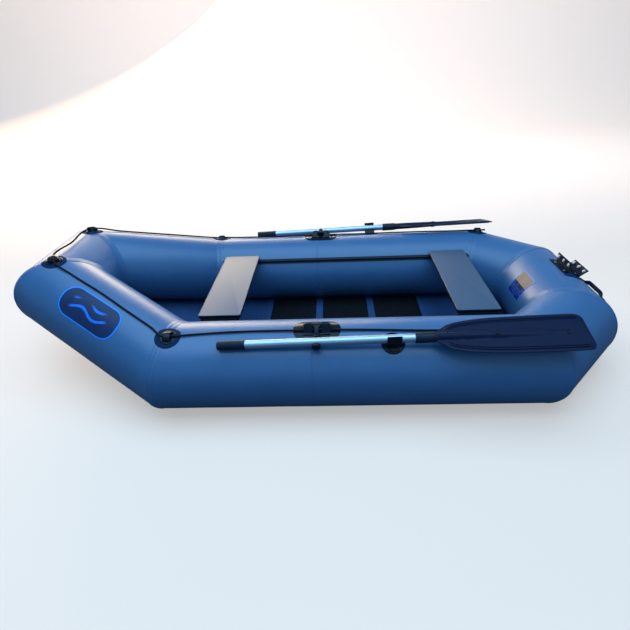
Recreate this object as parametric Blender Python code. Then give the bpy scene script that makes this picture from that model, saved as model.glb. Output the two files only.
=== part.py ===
"""Inflatable rowing boat, built as an assembly of its separate pieces.

Metres, +Z up. The bow points along -X, the stern along +X, port is -Y and starboard is +Y.
The boat stands on its side and stern tubes at z = 0, over the middle of its own outline.
"""

import math

import bmesh
import bpy
from mathutils import Matrix, Vector

# Fits that all pieces share
FIT_GAP = 0.0003
CUT_OVERRUN = 0.004
SMOOTH_ANGLE = math.radians(32)

# Hull: one closed ring of straight tube panels, mitred at eight corners
TUBE_RADIUS = 0.180
TUBE_SIDES = 40
FABRIC_THICKNESS = 0.0011
SIDE_TUBE_SPACING = 0.930
SIDE_TUBE_LENGTH = 1.490
BOW_AXIS_REACH = 0.554
BOW_AXIS_LENGTH = 0.316
BOW_RISE = 0.189
STERN_AXIS_REACH = 0.235
STERN_AXIS_LENGTH = 0.462
BAFFLE_X = -0.150

# Baffle that parts the two air chambers
BAFFLE_RIM_LENGTH = 0.030
BAFFLE_DISH = 0.045
BAFFLE_SHOULDER_SHARE = 0.62

# Bottom sheet and slat floor
BOTTOM_SHEET_THICKNESS = 0.0011
SHEET_MARGIN_FACETS = 3
MAT_THICKNESS = 0.0016
MAT_HALF_LENGTH = 0.450
MAT_SIDE_CLEARANCE = 0.004
SLAT_THICKNESS = 0.009
SLAT_LENGTH = 0.252
SLAT_PITCH = 0.291
SLAT_COUNT = 3
SLAT_SIDE_CLEARANCE = 0.006
SLAT_EDGE_BEVEL = 0.002

# Seat rails: a strip and a bead on each side tube's inner face
RAIL_ANGLE = math.radians(36)
RAIL_LENGTH = 1.350
RAIL_STRIP_WIDTH = 0.026
RAIL_STRIP_THICKNESS = 0.003
BEAD_RADIUS = 0.0045
BEAD_WEB_THICKNESS = 0.003
BEAD_STANDOFF = 0.0110
BEAD_ARC_POINTS = 9

# Seats and the clips that carry them on the beads
SEAT_WIDTH = 0.185
SEAT_THICKNESS = 0.015
SEAT_LIFT = 0.0187
SEAT_END_OVERHANG = 0.0045
SEAT_BEVEL = 0.0025
FRONT_SEAT_X = -0.560
REAR_SEAT_X = 0.550
CLIP_RUNNING_GAP = 0.0004
CLIP_WALL = 0.0031
CLIP_TOP_WIDTH = 0.030
CLIP_TOP_OVERLAP = 0.0035
CLIP_LENGTH = 0.165

# Rowlock
ROWLOCK_X = -0.131
ROWLOCK_ANGLE = math.radians(82)
ROWLOCK_PATCH_LENGTH = 0.186
ROWLOCK_PATCH_WIDTH = 0.112
ROWLOCK_PATCH_CORNER = 0.050
PATCH_THICKNESS = 0.0016
PATCH_CORNER_POINTS = 6
ROWLOCK_LENGTH = 0.105
ROWLOCK_FOOT_WIDTH = 0.066
ROWLOCK_FOOT_HEIGHT = 0.0040
ROWLOCK_SINK = 0.0080
PIVOT_HEIGHT = 0.0229
EAR_GAP = 0.0370
EAR_TOP_RADIUS = 0.0130
EAR_ARC_POINTS = 7
EAR_STATION_SHARES = (0.0, 0.46, 0.76, 0.93, 1.0)
EAR_HEIGHT_SHARES = (1.0, 1.0, 0.93, 0.80, 0.66)
AXLE_RADIUS = 0.0040
AXLE_LENGTH = 0.0900
AXLE_SIDES = 16

# Yoke, oar pin and knob
OAR_ARM = 0.0850
REST_DIP = math.radians(15)
YOKE_BARREL_RADIUS = 0.0090
YOKE_THICKNESS = 0.0120
YOKE_WAIST_WIDTH = 0.0150
YOKE_SHOULDER_WIDTH = 0.0280
YOKE_SHOULDER_THICKNESS = 0.0060
YOKE_NECK_SHARE = 0.72
PIN_RADIUS = 0.0060
PIN_SIDES = 20
PIN_THREAD_LENGTH = 0.0120
KNOB_RADIUS = 0.0170
KNOB_LENGTH = 0.0165
KNOB_EDGE = 0.0030
KNOB_SIDES = 28

# Oar
OAR_LENGTH = 1.359
OAR_PIN_PLACE = 0.377
SHAFT_RADIUS = 0.0165
SHAFT_WALL = 0.0014
SHAFT_SIDES = 28
GRIP_LENGTH = 0.108
GRIP_WALL = 0.0011
GRIP_END_THICKNESS = 0.0040
GRIP_TUBE_CLEARANCE = 0.0014
SOCKET_PLACE = 0.742
SOCKET_LENGTH = 0.075
SOCKET_WALL = 0.0036
BLADE_WIDTH = 0.174
BLADE_THICKNESS = 0.0044
BLADE_SPINE_HEIGHT = 0.0150
BLADE_SPINE_WIDTH = 0.0360
BLADE_SPINE_LENGTH_SHARE = 0.86
BLADE_SPINE_TIP_SHARE = 0.50
BLADE_SPINE_ROOT_SHARE = 0.40
BLADE_SPINE_CROWN_SHARE = 0.75
BLADE_RIB_START_SHARE = 0.07
BLADE_RIB_END_SHARE = 0.05
BLADE_RIB_HEIGHT = 0.0022
BLADE_RIB_WIDTH = 0.0060
BLADE_RIB_INSET = 0.0180
# Blade outline: share of the blade's length, then share of its half width
BLADE_OUTLINE_SHARES = (
    (0.000, 0.24), (0.040, 0.43), (0.090, 0.65), (0.150, 0.78), (0.230, 0.87),
    (0.320, 0.935), (0.420, 0.975), (0.550, 0.99), (0.700, 1.00), (0.890, 1.00),
    (0.950, 0.99), (0.975, 0.95), (0.990, 0.87), (1.000, 0.72),
)

# Oar holder: a patch with a hook that is open at the top
HOLDER_X = 0.157
HOLDER_PATCH_RADIUS = 0.0450
HOLDER_PATCH_SIDES = 28
HOOK_LENGTH = 0.054
HOOK_WALL = 0.0040
HOOK_LIP_GAP = 0.0040
HOOK_LIP_RISE = 0.0240
HOOK_SPREAD = math.radians(36)
HOOK_ARC_POINTS = 12
HOOK_SINK = 0.0040

# Grab line and its loops
ROPE_RADIUS = 0.0040
ROPE_HEIGHT = 0.0078
ROPE_TAIL = 0.042
ROPE_TUNNEL_CLEARANCE = 0.0014
TUNNEL_ANGLE = math.radians(78.5)
ROPE_REST_HEIGHT = 0.0060
ROPE_SLACK = 0.0015
ROPE_SAMPLES = 12
ROPE_STEP = 0.1100
ROPE_TURN = math.radians(4.5)
# Route between fittings: share of the way, then degrees round the tube from outboard
AFT_ROPE_SHARES = ((0.14, 77.6), (0.36, 74.0), (0.58, 75.0), (0.80, 77.6))
FORE_ROPE_SHARES = ((0.18, 79.4), (0.42, 79.2), (0.66, 77.8), (0.86, 75.6))
BOW_ROPE_SHARES = ((0.10, 75.0), (0.30, 76.0), (0.54, 77.5), (0.80, 76.8))
LOOP_PATCH_RADIUS = 0.0520
LOOP_PATCH_SIDES = 26
LOOP_HALF_WIDTH = 0.0265
LOOP_HALF_LENGTH = 0.0165
LOOP_HEIGHT = 0.0205
LOOP_SLOT_HALF_WIDTH = 0.0175
LOOP_SLOT_HEIGHT = 0.0150
LOOP_SIDES = 16
LOOP_STATION_SHARES = (-1.0, -0.72, 0.72, 1.0)
LOOP_SIZE_SHARES = (0.86, 1.0, 1.0, 0.86)
FRONT_LOOP_SETBACK = 0.030
FRONT_LOOP_ANGLE = math.radians(73.5)
REAR_LOOP_OVERSHOOT = 0.021
REAR_LOOP_ANGLE = math.radians(80)
BOW_LOOP_ANGLE = math.radians(80.5)

# Inflation valves, one for each chamber, on the port tube's inner face
FORE_VALVE_X = -0.350
AFT_VALVE_X = 0.300
VALVE_FLANGE_RADIUS = 0.0290
VALVE_FLANGE_HEIGHT = 0.0035
VALVE_FLANGE_SINK = 0.0050
VALVE_BARREL_RADIUS = 0.0165
VALVE_BARREL_DEPTH = 0.0260
VALVE_NECK_HEIGHT = 0.0105
VALVE_BORE_RADIUS = 0.0125
VALVE_WEB_DEPTH = 0.0085
VALVE_WEB_THICKNESS = 0.0030
VALVE_WEB_HOLE_RADIUS = 0.0055
VALVE_SIDES = 28
PLUNGER_STEM_RADIUS = 0.0025
PLUNGER_HEAD_RADIUS = 0.0105
PLUNGER_DISC_THICKNESS = 0.0030
PLUNGER_BUTTON_RADIUS = 0.0095
PLUNGER_BUTTON_HEIGHT = 0.0025
SPRING_RADIUS = 0.0073
SPRING_WIRE_RADIUS = 0.0006
SPRING_TURNS = 4
SPRING_POINTS_PER_TURN = 10
CAP_WALL = 0.0030
CAP_TOP = 0.0026
CAP_THREAD_GAP = 0.0005
CAP_FLUTE_DEPTH = 0.0010

# Stern bracket: a pad and two bent plates with three bolt holes each
BRACKET_PAD_WIDTH = 0.190
BRACKET_PAD_REACH = 0.094
BRACKET_PAD_ANGLE = math.radians(20)
BRACKET_PAD_CORNER = 0.014
BRACKET_PAD_THICKNESS = 0.0022
PLATE_THICKNESS = 0.0030
PLATE_WIDTH = 0.126
PLATE_FOOT_LENGTH = 0.022
PLATE_FOOT_SETBACK = 0.0020
FRONT_PLATE_FACET = 1
FRONT_PLATE_HEIGHT = 0.0470
FRONT_PLATE_LEAN = math.radians(0)
REAR_PLATE_FACET = 3
REAR_PLATE_HEIGHT = 0.0440
REAR_PLATE_LEAN = math.radians(52)
BOLT_HOLE_RADIUS = 0.0035
BOLT_HOLE_PITCH = 0.048
BOLT_HOLE_SETBACK = 0.0140
BOLT_HOLE_SIDES = 14

# Stern carry handle
HANDLE_Y = -0.133
HANDLE_FACET = 5
HANDLE_LENGTH = 0.205
HANDLE_WIDTH = 0.026
HANDLE_TAB_LENGTH = 0.036
HANDLE_TAB_THICKNESS = 0.0040
HANDLE_GRIP_LENGTH = 0.094
HANDLE_HEIGHT = 0.0200
HANDLE_GRIP_THICKNESS = 0.0080

X = Vector((1, 0, 0))
Y = Vector((0, 1, 0))
Z = Vector((0, 0, 1))
MIRROR = Matrix.Diagonal((1, -1, 1, 1))

# Colour, roughness and metallic value of each finish
FINISHES = {
    "hull_fabric": ((0.060, 0.155, 0.330), 0.34, 0.0),
    "patch_fabric": ((0.018, 0.045, 0.120), 0.42, 0.0),
    "black_board": ((0.012, 0.012, 0.018), 0.60, 0.0),
    "seat_board": ((0.130, 0.220, 0.360), 0.38, 0.0),
    "black_moulding": ((0.014, 0.016, 0.026), 0.38, 0.0),
    "aluminium": ((0.780, 0.800, 0.830), 0.28, 1.0),
    "blade_plastic": ((0.016, 0.035, 0.090), 0.36, 0.0),
    "steel": ((0.620, 0.640, 0.660), 0.25, 1.0),
    "rope": ((0.012, 0.012, 0.016), 0.85, 0.0),
}


def clear_scene():
    """Start from an empty scene."""
    for obj in list(bpy.data.objects):
        bpy.data.objects.remove(obj, do_unlink=True)


def make_material(name):
    """A Principled material in one of the finishes."""
    colour, roughness, metallic = FINISHES[name]
    made = bpy.data.materials.new(name)
    made.use_nodes = True
    shader = made.node_tree.nodes["Principled BSDF"]
    shader.inputs["Base Color"].default_value = (*colour, 1)
    shader.inputs["Roughness"].default_value = roughness
    shader.inputs["Metallic"].default_value = metallic
    made.diffuse_color = (*colour, 1)
    return made


def axes(origin, x, y, z):
    """Matrix with these columns."""
    return Matrix((
        (x[0], y[0], z[0], origin[0]),
        (x[1], y[1], z[1], origin[1]),
        (x[2], y[2], z[2], origin[2]),
        (0, 0, 0, 1),
    ))


def standing_on(origin, normal, along):
    """Frame whose z is the normal and whose x is as near to along as it can be."""
    z = normal.normalized()
    x = (along - z * along.dot(z)).normalized()
    return axes(origin, x, z.cross(x), z)


def lying_along(origin, along, normal):
    """Frame whose x is along and whose z is as near to the normal as it can be."""
    x = along.normalized()
    z = (normal - x * normal.dot(x)).normalized()
    return axes(origin, x, z.cross(x), z)


def solid(name, shape, finish, parent, place=None):
    """Turn a bmesh into a named object in its frame, and hang it on its parent."""
    bmesh.ops.recalc_face_normals(shape, faces=shape.faces)
    mesh = bpy.data.meshes.new(name)
    shape.to_mesh(mesh)
    shape.free()
    mesh.shade_smooth()
    mesh.set_sharp_from_angle(angle=SMOOTH_ANGLE)
    obj = bpy.data.objects.new(name, mesh)
    bpy.context.scene.collection.objects.link(obj)
    obj.parent = parent
    if finish:
        mesh.materials.append(MATERIALS[finish])
    if place:
        obj.matrix_basis = place
    return obj


def guide(name, shape, parent, place=None):
    """A cutter or form that shapes other pieces and isn't one itself."""
    obj = solid(name, shape, None, parent, place)
    obj.hide_render = True
    obj.display_type = "WIRE"
    return obj


def boolean(obj, operation, other):
    """Add one EXACT Boolean: UNION, DIFFERENCE or INTERSECT."""
    modifier = obj.modifiers.new(f"{operation.lower()} {other.name}", "BOOLEAN")
    modifier.operation = operation
    modifier.solver = "EXACT"
    modifier.object = other


def bevelled(obj, width, segments=2):
    """Round off an object's sharp edges."""
    modifier = obj.modifiers.new("rounded edges", "BEVEL")
    modifier.width = width
    modifier.segments = segments
    modifier.limit_method = "ANGLE"
    return obj


def empty(name, parent, place=None):
    """A joint's axis, or the boat as a whole."""
    obj = bpy.data.objects.new(name, None)
    bpy.context.scene.collection.objects.link(obj)
    obj.parent = parent
    if place:
        obj.matrix_basis = place
    return obj


def loft(sections):
    """Closed body through sections of equal point counts, with flat ends."""
    shape = bmesh.new()
    rings = [[shape.verts.new(point) for point in section] for section in sections]
    count = len(rings[0])
    for ring, after in zip(rings, rings[1:]):
        for i in range(count):
            j = (i + 1) % count
            shape.faces.new((ring[i], ring[j], after[j], after[i]))
    shape.faces.new(list(reversed(rings[0])))
    shape.faces.new(rings[-1])
    return shape


def prism(outline, low, high):
    """Extrude an outline in local x and y along local z."""
    return loft([[Vector((x, y, z)) for x, y in outline] for z in (low, high)])


def block(low, high):
    """Box between two corners."""
    outline = ((low[0], low[1]), (high[0], low[1]), (high[0], high[1]), (low[0], high[1]))
    return prism(outline, low[2], high[2])


def turned(profile, sides):
    """Spin a profile of (radius, height) pairs round local z."""
    shape = bmesh.new()
    verts = [shape.verts.new((radius, 0, height)) for radius, height in profile]
    edges = [shape.edges.new(pair) for pair in zip(verts, verts[1:])]
    if profile[0][0] > 0 or profile[-1][0] > 0:
        edges.append(shape.edges.new((verts[-1], verts[0])))
    bmesh.ops.spin(shape, geom=verts + edges, cent=(0, 0, 0), axis=(0, 0, 1),
                   angle=math.tau, steps=sides, use_merge=True)
    bmesh.ops.remove_doubles(shape, verts=shape.verts, dist=FIT_GAP * FIT_GAP)
    return shape


def rod(radius, low, high, sides):
    """Cylinder along local z."""
    return turned(((0, low), (radius, low), (radius, high), (0, high)), sides)


def arc(centre, radius_x, radius_y, start, end, points):
    """Points of an elliptical arc, ends included."""
    angles = [start + (end - start) * i / (points - 1) for i in range(points)]
    return [
        (centre[0] + radius_x * math.cos(angle), centre[1] + radius_y * math.sin(angle))
        for angle in angles
    ]


def rounded_rectangle(length, width, corner):
    """Outline of a rectangle with round corners, about the origin."""
    outline = []
    for quarter, (sign_x, sign_y) in enumerate(((1, 1), (-1, 1), (-1, -1), (1, -1))):
        centre = (sign_x * (length / 2 - corner), sign_y * (width / 2 - corner))
        start = quarter * math.pi / 2
        outline += arc(centre, corner, corner, start, start + math.pi / 2, PATCH_CORNER_POINTS)
    return outline


def strip(path, thickness):
    """Outline of a bent strip of this thickness, with mitred bends, along a path of points."""
    points = [Vector(point) for point in path]
    runs = [(after - point).normalized() for point, after in zip(points, points[1:])]
    offsets = []
    for before, after in zip(runs[:1] + runs, runs + runs[-1:]):
        side = Vector((-before.y - after.y, before.x + after.x)).normalized()
        offsets.append(side * (thickness / 2 / side.dot(Vector((-before.y, before.x)))))
    one = [tuple(point + offset) for point, offset in zip(points, offsets)]
    other = [tuple(point - offset) for point, offset in zip(points, offsets)]
    return one + other[::-1]


# Hull geometry


HALF_STEP = math.pi / TUBE_SIDES
SIDE_Y = SIDE_TUBE_SPACING / 2
SHEET_CORNER = 3 * TUBE_SIDES // 4 - SHEET_MARGIN_FACETS
FORE = Vector((-SIDE_TUBE_LENGTH / 2, -SIDE_Y, TUBE_RADIUS))
AFT = Vector((SIDE_TUBE_LENGTH / 2, -SIDE_Y, TUBE_RADIUS))
BOW = Vector((FORE.x - BOW_AXIS_REACH, -BOW_AXIS_LENGTH / 2, TUBE_RADIUS + BOW_RISE))
STERN = Vector((AFT.x + STERN_AXIS_REACH, -STERN_AXIS_LENGTH / 2, TUBE_RADIUS))
BOW_RUN = (BOW - FORE).normalized()
STERN_RUN = (STERN - AFT).normalized()
MITRES = {
    "seam": (Vector((BAFFLE_X, -SIDE_Y, TUBE_RADIUS)), X),
    "fore": (FORE, (BOW_RUN - X).normalized()),
    "bow": (BOW, (BOW_RUN + Y).normalized()),
    "aft": (AFT, (STERN_RUN + X).normalized()),
    "stern": (STERN, (STERN_RUN + Y).normalized()),
}


def side_profile(apothem):
    """Port side tube's section at x = 0: a regular polygon with a flat facet at the bottom."""
    radius = apothem / math.cos(HALF_STEP)
    angles = [(2 * i + 1) * HALF_STEP for i in range(TUBE_SIDES)]
    return [
        Vector((0, -SIDE_Y - radius * math.cos(angle), TUBE_RADIUS + radius * math.sin(angle)))
        for angle in angles
    ]


def slid(points, direction, mitre):
    """Slide points along a tube until they meet a mitre plane."""
    on_plane, normal = MITRES[mitre]
    slope = direction.dot(normal)
    return [p + direction * ((on_plane - p).dot(normal) / slope) for p in points]


def hull_rings(apothem):
    """The hull's section, at this apothem, on every mitre plane of the port half."""
    profile = side_profile(apothem)
    fore = slid(profile, X, "fore")
    aft = slid(profile, X, "aft")
    return {
        "seam": slid(profile, X, "seam"),
        "fore": fore,
        "bow": slid(fore, BOW_RUN, "bow"),
        "aft": aft,
        "stern": slid(aft, STERN_RUN, "stern"),
    }


def mirrored_points(points):
    """The same points on the starboard side."""
    return [MIRROR @ p for p in points]


def trimmed(points, direction, mitre):
    """Pull a ring back from its mitre plane, along its tube, by half the fit gap."""
    step = FIT_GAP / 2 / abs(direction.dot(MITRES[mitre][1]))
    return [p + direction * step for p in points]


def tube_wall(outer, inner):
    """Open-ended tube between two rings, with a wall."""
    shape = bmesh.new()
    rings = [[shape.verts.new(p) for p in ring] for ring in (*outer, *reversed(inner))]
    for ring, after in zip(rings, rings[1:] + rings[:1]):
        for i in range(TUBE_SIDES):
            j = (i + 1) % TUBE_SIDES
            shape.faces.new((ring[i], ring[j], after[j], after[i]))
    return shape


def hull_form(name, offset, parent):
    """Guide: the whole hull as one closed ring, this far outside the fabric's outer face."""
    rings = hull_rings(TUBE_RADIUS + offset)
    port = [rings[key] for key in ("bow", "fore", "aft", "stern")]
    loop = port + [mirrored_points(ring) for ring in reversed(port)]
    shape = bmesh.new()
    made = [[shape.verts.new(p) for p in ring] for ring in loop]
    for ring, after in zip(made, made[1:] + made[:1]):
        for i in range(TUBE_SIDES):
            j = (i + 1) % TUBE_SIDES
            shape.faces.new((ring[i], ring[j], after[j], after[i]))
    return guide(f"{name}_form", shape, parent)


def side_point(x, angle, height):
    """A place over the port side tube: angle from outboard upwards, height over the fabric."""
    radius = TUBE_RADIUS + height
    return Vector((x, -SIDE_Y - radius * math.cos(angle), TUBE_RADIUS + radius * math.sin(angle)))


def side_normal(angle):
    """Outward direction there."""
    return Vector((0, -math.cos(angle), math.sin(angle)))


def quarter_point(share, angle, height):
    """A place over the port bow quarter tube, share 0 at the fore mitre and 1 at the bow."""
    start = slid([side_point(0, angle, height)], X, "fore")
    end = slid(start, BOW_RUN, "bow")
    return start[0].lerp(end[0], share)


def stern_frame(y, facet):
    """Frame on a facet of the stern tube, counted from the top towards aft."""
    angle = 2 * facet * HALF_STEP
    normal = Vector((math.sin(angle), 0, math.cos(angle)))
    origin = Vector((STERN.x, y, TUBE_RADIUS)) + normal * TUBE_RADIUS
    return axes(origin, Y, normal.cross(Y), normal)


# Hull pieces


def hull_panels(parent):
    """The ten welded fabric panels of the buoyancy tube."""
    outer = hull_rings(TUBE_RADIUS)
    inner = hull_rings(TUBE_RADIUS - FABRIC_THICKNESS)
    runs = {
        "bow_panel": ("bow", "fore", -BOW_RUN),
        "fore_side_panel": ("fore", "seam", X),
        "aft_side_panel": ("seam", "aft", X),
        "quarter_panel": ("aft", "stern", STERN_RUN),
    }
    made = {}
    for name, (start, end, run) in runs.items():
        walls = [
            (trimmed(rings[start], run, start), trimmed(rings[end], -run, end))
            for rings in (outer, inner)
        ]
        made[f"port_{name}"] = solid(f"port_{name}", tube_wall(*walls), "hull_fabric", parent)
        walls = [tuple(map(mirrored_points, wall)) for wall in walls]
        made[f"starboard_{name}"] = solid(
            f"starboard_{name}", tube_wall(*walls), "hull_fabric", parent
        )
    for name, key in (("bow_panel", "bow"), ("stern_panel", "stern")):
        starts = [trimmed(rings[key], Y, key) for rings in (outer, inner)]
        walls = [(start, mirrored_points(start)) for start in starts]
        made[name] = solid(name, tube_wall(*walls), "hull_fabric", parent)
    return made


def baffle(name, parent, side):
    """Dished fabric wall inside a side tube, with a rim that is welded to it."""
    rim = TUBE_RADIUS - FABRIC_THICKNESS - FIT_GAP
    inside = rim - FABRIC_THICKNESS
    half = BAFFLE_RIM_LENGTH / 2
    shoulder = rim * BAFFLE_SHOULDER_SHARE
    top = half + BAFFLE_DISH
    shape = turned((
        (0, top - FABRIC_THICKNESS), (shoulder, half + BAFFLE_DISH / 2 - FABRIC_THICKNESS),
        (inside, half - FABRIC_THICKNESS), (inside, -half), (rim, -half), (rim, half),
        (shoulder, half + BAFFLE_DISH / 2), (0, top),
    ), TUBE_SIDES)
    place = axes(Vector((BAFFLE_X, side * SIDE_Y, TUBE_RADIUS)), Z, Y, -X)
    return solid(name, shape, "hull_fabric", parent, place)


def bottom_sheet(parent):
    """Floor and bow ramp, with a margin glued to the underside of the tubes all round."""
    shape = bmesh.new()
    layers = []
    for apothem in (TUBE_RADIUS + FIT_GAP, TUBE_RADIUS + FIT_GAP + BOTTOM_SHEET_THICKNESS):
        rings = hull_rings(apothem)
        for index in (SHEET_CORNER + 1, SHEET_CORNER):
            port = [rings[key][index] for key in ("fore", "aft", "stern")]
            bow = rings["bow"][index]
            loop = [bow, *port, *mirrored_points(reversed(port)), MIRROR @ bow]
            layers.append([shape.verts.new(p) for p in loop])
    top_margin, top, low_margin, low = layers
    count = len(top)
    for one, other in ((top_margin, top), (low_margin, low), (top_margin, low_margin)):
        for i in range(count):
            j = (i + 1) % count
            shape.faces.new((one[i], one[j], other[j], other[i]))
    for layer in (top, low):
        shape.faces.new(layer[1:-1])
        shape.faces.new((layer[0], layer[1], layer[-2], layer[-1]))
    return solid("bottom_sheet", shape, "hull_fabric", parent)


def floor_height():
    """Height of the bottom sheet's upper face."""
    return hull_rings(TUBE_RADIUS + FIT_GAP)["fore"][SHEET_CORNER].z


def half_width_between_tubes(height):
    """Free half width between the side tubes at this height."""
    radius = TUBE_RADIUS / math.cos(HALF_STEP)
    return SIDE_Y - math.sqrt(radius ** 2 - (TUBE_RADIUS - height) ** 2)


def slat_floor(parent):
    """The mat and the stiff slats that lie on it."""
    low = floor_height() + FIT_GAP
    top = low + MAT_THICKNESS
    half = half_width_between_tubes(top) - MAT_SIDE_CLEARANCE
    shape = block((-MAT_HALF_LENGTH, -half, low), (MAT_HALF_LENGTH, half, top))
    solid("slat_mat", shape, "hull_fabric", parent)
    low = top + FIT_GAP
    top = low + SLAT_THICKNESS
    half = half_width_between_tubes(top) - SLAT_SIDE_CLEARANCE
    for i in range(SLAT_COUNT):
        x = (i - (SLAT_COUNT - 1) / 2) * SLAT_PITCH
        shape = block((-SLAT_LENGTH / 2, -half, low), (SLAT_LENGTH / 2, half, top))
        place = Matrix.Translation((x, 0, 0))
        slat = solid(f"slat_board_{i + 1}", shape, "black_board", parent, place)
        bevelled(slat, SLAT_EDGE_BEVEL, 1)


# Seats on their rails


RAIL_OUT = Vector((math.cos(RAIL_ANGLE), math.sin(RAIL_ANGLE)))
RAIL_UP = Vector((-math.sin(RAIL_ANGLE), math.cos(RAIL_ANGLE)))
BEAD = RAIL_OUT * (TUBE_RADIUS + BEAD_STANDOFF)
SECTION = axes(Vector((0, -SIDE_Y, TUBE_RADIUS)), Y, Z, X)


def rail_place(out, up):
    """Section point, measured from the bead's centre along and across the rail's normal."""
    return tuple(BEAD + RAIL_OUT * out + RAIL_UP * up)


def bead_arc(radius, half_slot, points):
    """Arc round the bead, open towards the tube by a slot of this half width."""
    opening = math.asin(half_slot / radius)
    arc_points = arc((0, 0), radius, radius, math.pi - opening, -math.pi + opening, points)
    return [rail_place(out, up) for out, up in arc_points]


def seat_rail(parent):
    """Strip welded to the port tube, with the bead that the seat clips run on."""
    strip_low = FIT_GAP - BEAD_STANDOFF
    strip_top = strip_low + RAIL_STRIP_THICKNESS
    half = RAIL_STRIP_WIDTH / 2
    web = BEAD_WEB_THICKNESS / 2
    outline = [
        rail_place(strip_low, -half), rail_place(strip_low, half),
        rail_place(strip_top, half), rail_place(strip_top, web),
        *bead_arc(BEAD_RADIUS, web, BEAD_ARC_POINTS),
        rail_place(strip_top, -web), rail_place(strip_top, -half),
    ]
    shape = prism(outline, -RAIL_LENGTH / 2, RAIL_LENGTH / 2)
    return solid("port_seat_rail", shape, "black_moulding", parent, SECTION)


def seat_clip(name, parent, x):
    """Moulding under a seat's port end, hooked round the bead."""
    running = BEAD_RADIUS + CLIP_RUNNING_GAP
    slot = BEAD_WEB_THICKNESS / 2 + CLIP_RUNNING_GAP
    back = FIT_GAP + RAIL_STRIP_THICKNESS + CLIP_RUNNING_GAP - BEAD_STANDOFF
    outer = running + CLIP_WALL
    top = BEAD.y + SEAT_LIFT - FIT_GAP
    end = BEAD.x - SEAT_END_OVERHANG - CLIP_TOP_OVERLAP
    outline = [
        rail_place(back, slot), *bead_arc(running, slot, BEAD_ARC_POINTS),
        rail_place(back, -slot), rail_place(back, -outer), rail_place(outer, -outer),
        (end + CLIP_TOP_WIDTH, top), (end, top), rail_place(back, outer),
    ]
    shape = prism(outline, x - CLIP_LENGTH / 2, x + CLIP_LENGTH / 2)
    return solid(name, shape, "black_moulding", parent, SECTION)


def seat(name, parent, x):
    """Flat board from bead to bead."""
    low = TUBE_RADIUS + BEAD.y + SEAT_LIFT
    half = SIDE_Y - BEAD.x + SEAT_END_OVERHANG
    shape = block((-SEAT_WIDTH / 2, -half, low), (SEAT_WIDTH / 2, half, low + SEAT_THICKNESS))
    board = solid(name, shape, "seat_board", parent, Matrix.Translation((x, 0, 0)))
    return bevelled(board, SEAT_BEVEL)


# Rowlock, yoke and oar


ROWLOCK = standing_on(side_point(ROWLOCK_X, ROWLOCK_ANGLE, 0), side_normal(ROWLOCK_ANGLE), X)
PIVOT = side_point(ROWLOCK_X, ROWLOCK_ANGLE, PIVOT_HEIGHT)
PIN_RUN = Vector((0, -math.cos(REST_DIP), -math.sin(REST_DIP)))
YOKE = axes(PIVOT, X, PIN_RUN.cross(X), PIN_RUN)
OAR_CENTRE = PIVOT + PIN_RUN * OAR_ARM
SHOULDER_TOP = OAR_ARM - SHAFT_RADIUS - FIT_GAP
KNOB_SEAT = OAR_ARM + SHAFT_RADIUS + FIT_GAP
GRIP_RADIUS = SHAFT_RADIUS + FIT_GAP + GRIP_WALL


def oar_run():
    """Direction of the stowed oar: its grip just clears the tube, so its blade rides higher."""
    up = PIN_RUN.cross(X)
    from_tube = OAR_CENTRE - Vector((OAR_CENTRE.x, -SIDE_Y, TUBE_RADIUS))
    distance = TUBE_RADIUS + GRIP_TUBE_CLEARANCE + GRIP_RADIUS
    lift = from_tube.dot(up)
    drop = lift - math.sqrt(lift ** 2 - from_tube.length_squared + distance ** 2)
    return (X + up * math.tan(math.asin(drop / OAR_PIN_PLACE))).normalized()


OAR_RUN = oar_run()
OAR = lying_along(OAR_CENTRE, OAR_RUN, PIN_RUN.cross(X))


def conformal_patch(name, outline, finish, parent, place, form):
    """Patch of this outline, cut to lie on the tube's facets; the form is its outer face."""
    reach = TUBE_RADIUS / 3
    obj = solid(name, prism(outline, -reach, reach), finish, parent, place)
    boolean(obj, "INTERSECT", form)
    return obj


def ear_section(share):
    """Outline of a rowlock ear in local y and z, drawn down towards its foot by a share."""
    half = ROWLOCK_FOOT_WIDTH / 2
    foot = -ROWLOCK_SINK
    centre = (0, PIVOT_HEIGHT)
    lean = math.atan2(PIVOT_HEIGHT - foot, half) - math.asin(
        EAR_TOP_RADIUS / math.hypot(half, PIVOT_HEIGHT - foot)
    )
    start = math.pi / 2 - lean
    top = arc(centre, EAR_TOP_RADIUS, EAR_TOP_RADIUS, start, math.pi - start, EAR_ARC_POINTS)
    return [(half, foot)] + [(y, foot + (z - foot) * share) for y, z in top] + [(-half, foot)]


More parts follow.
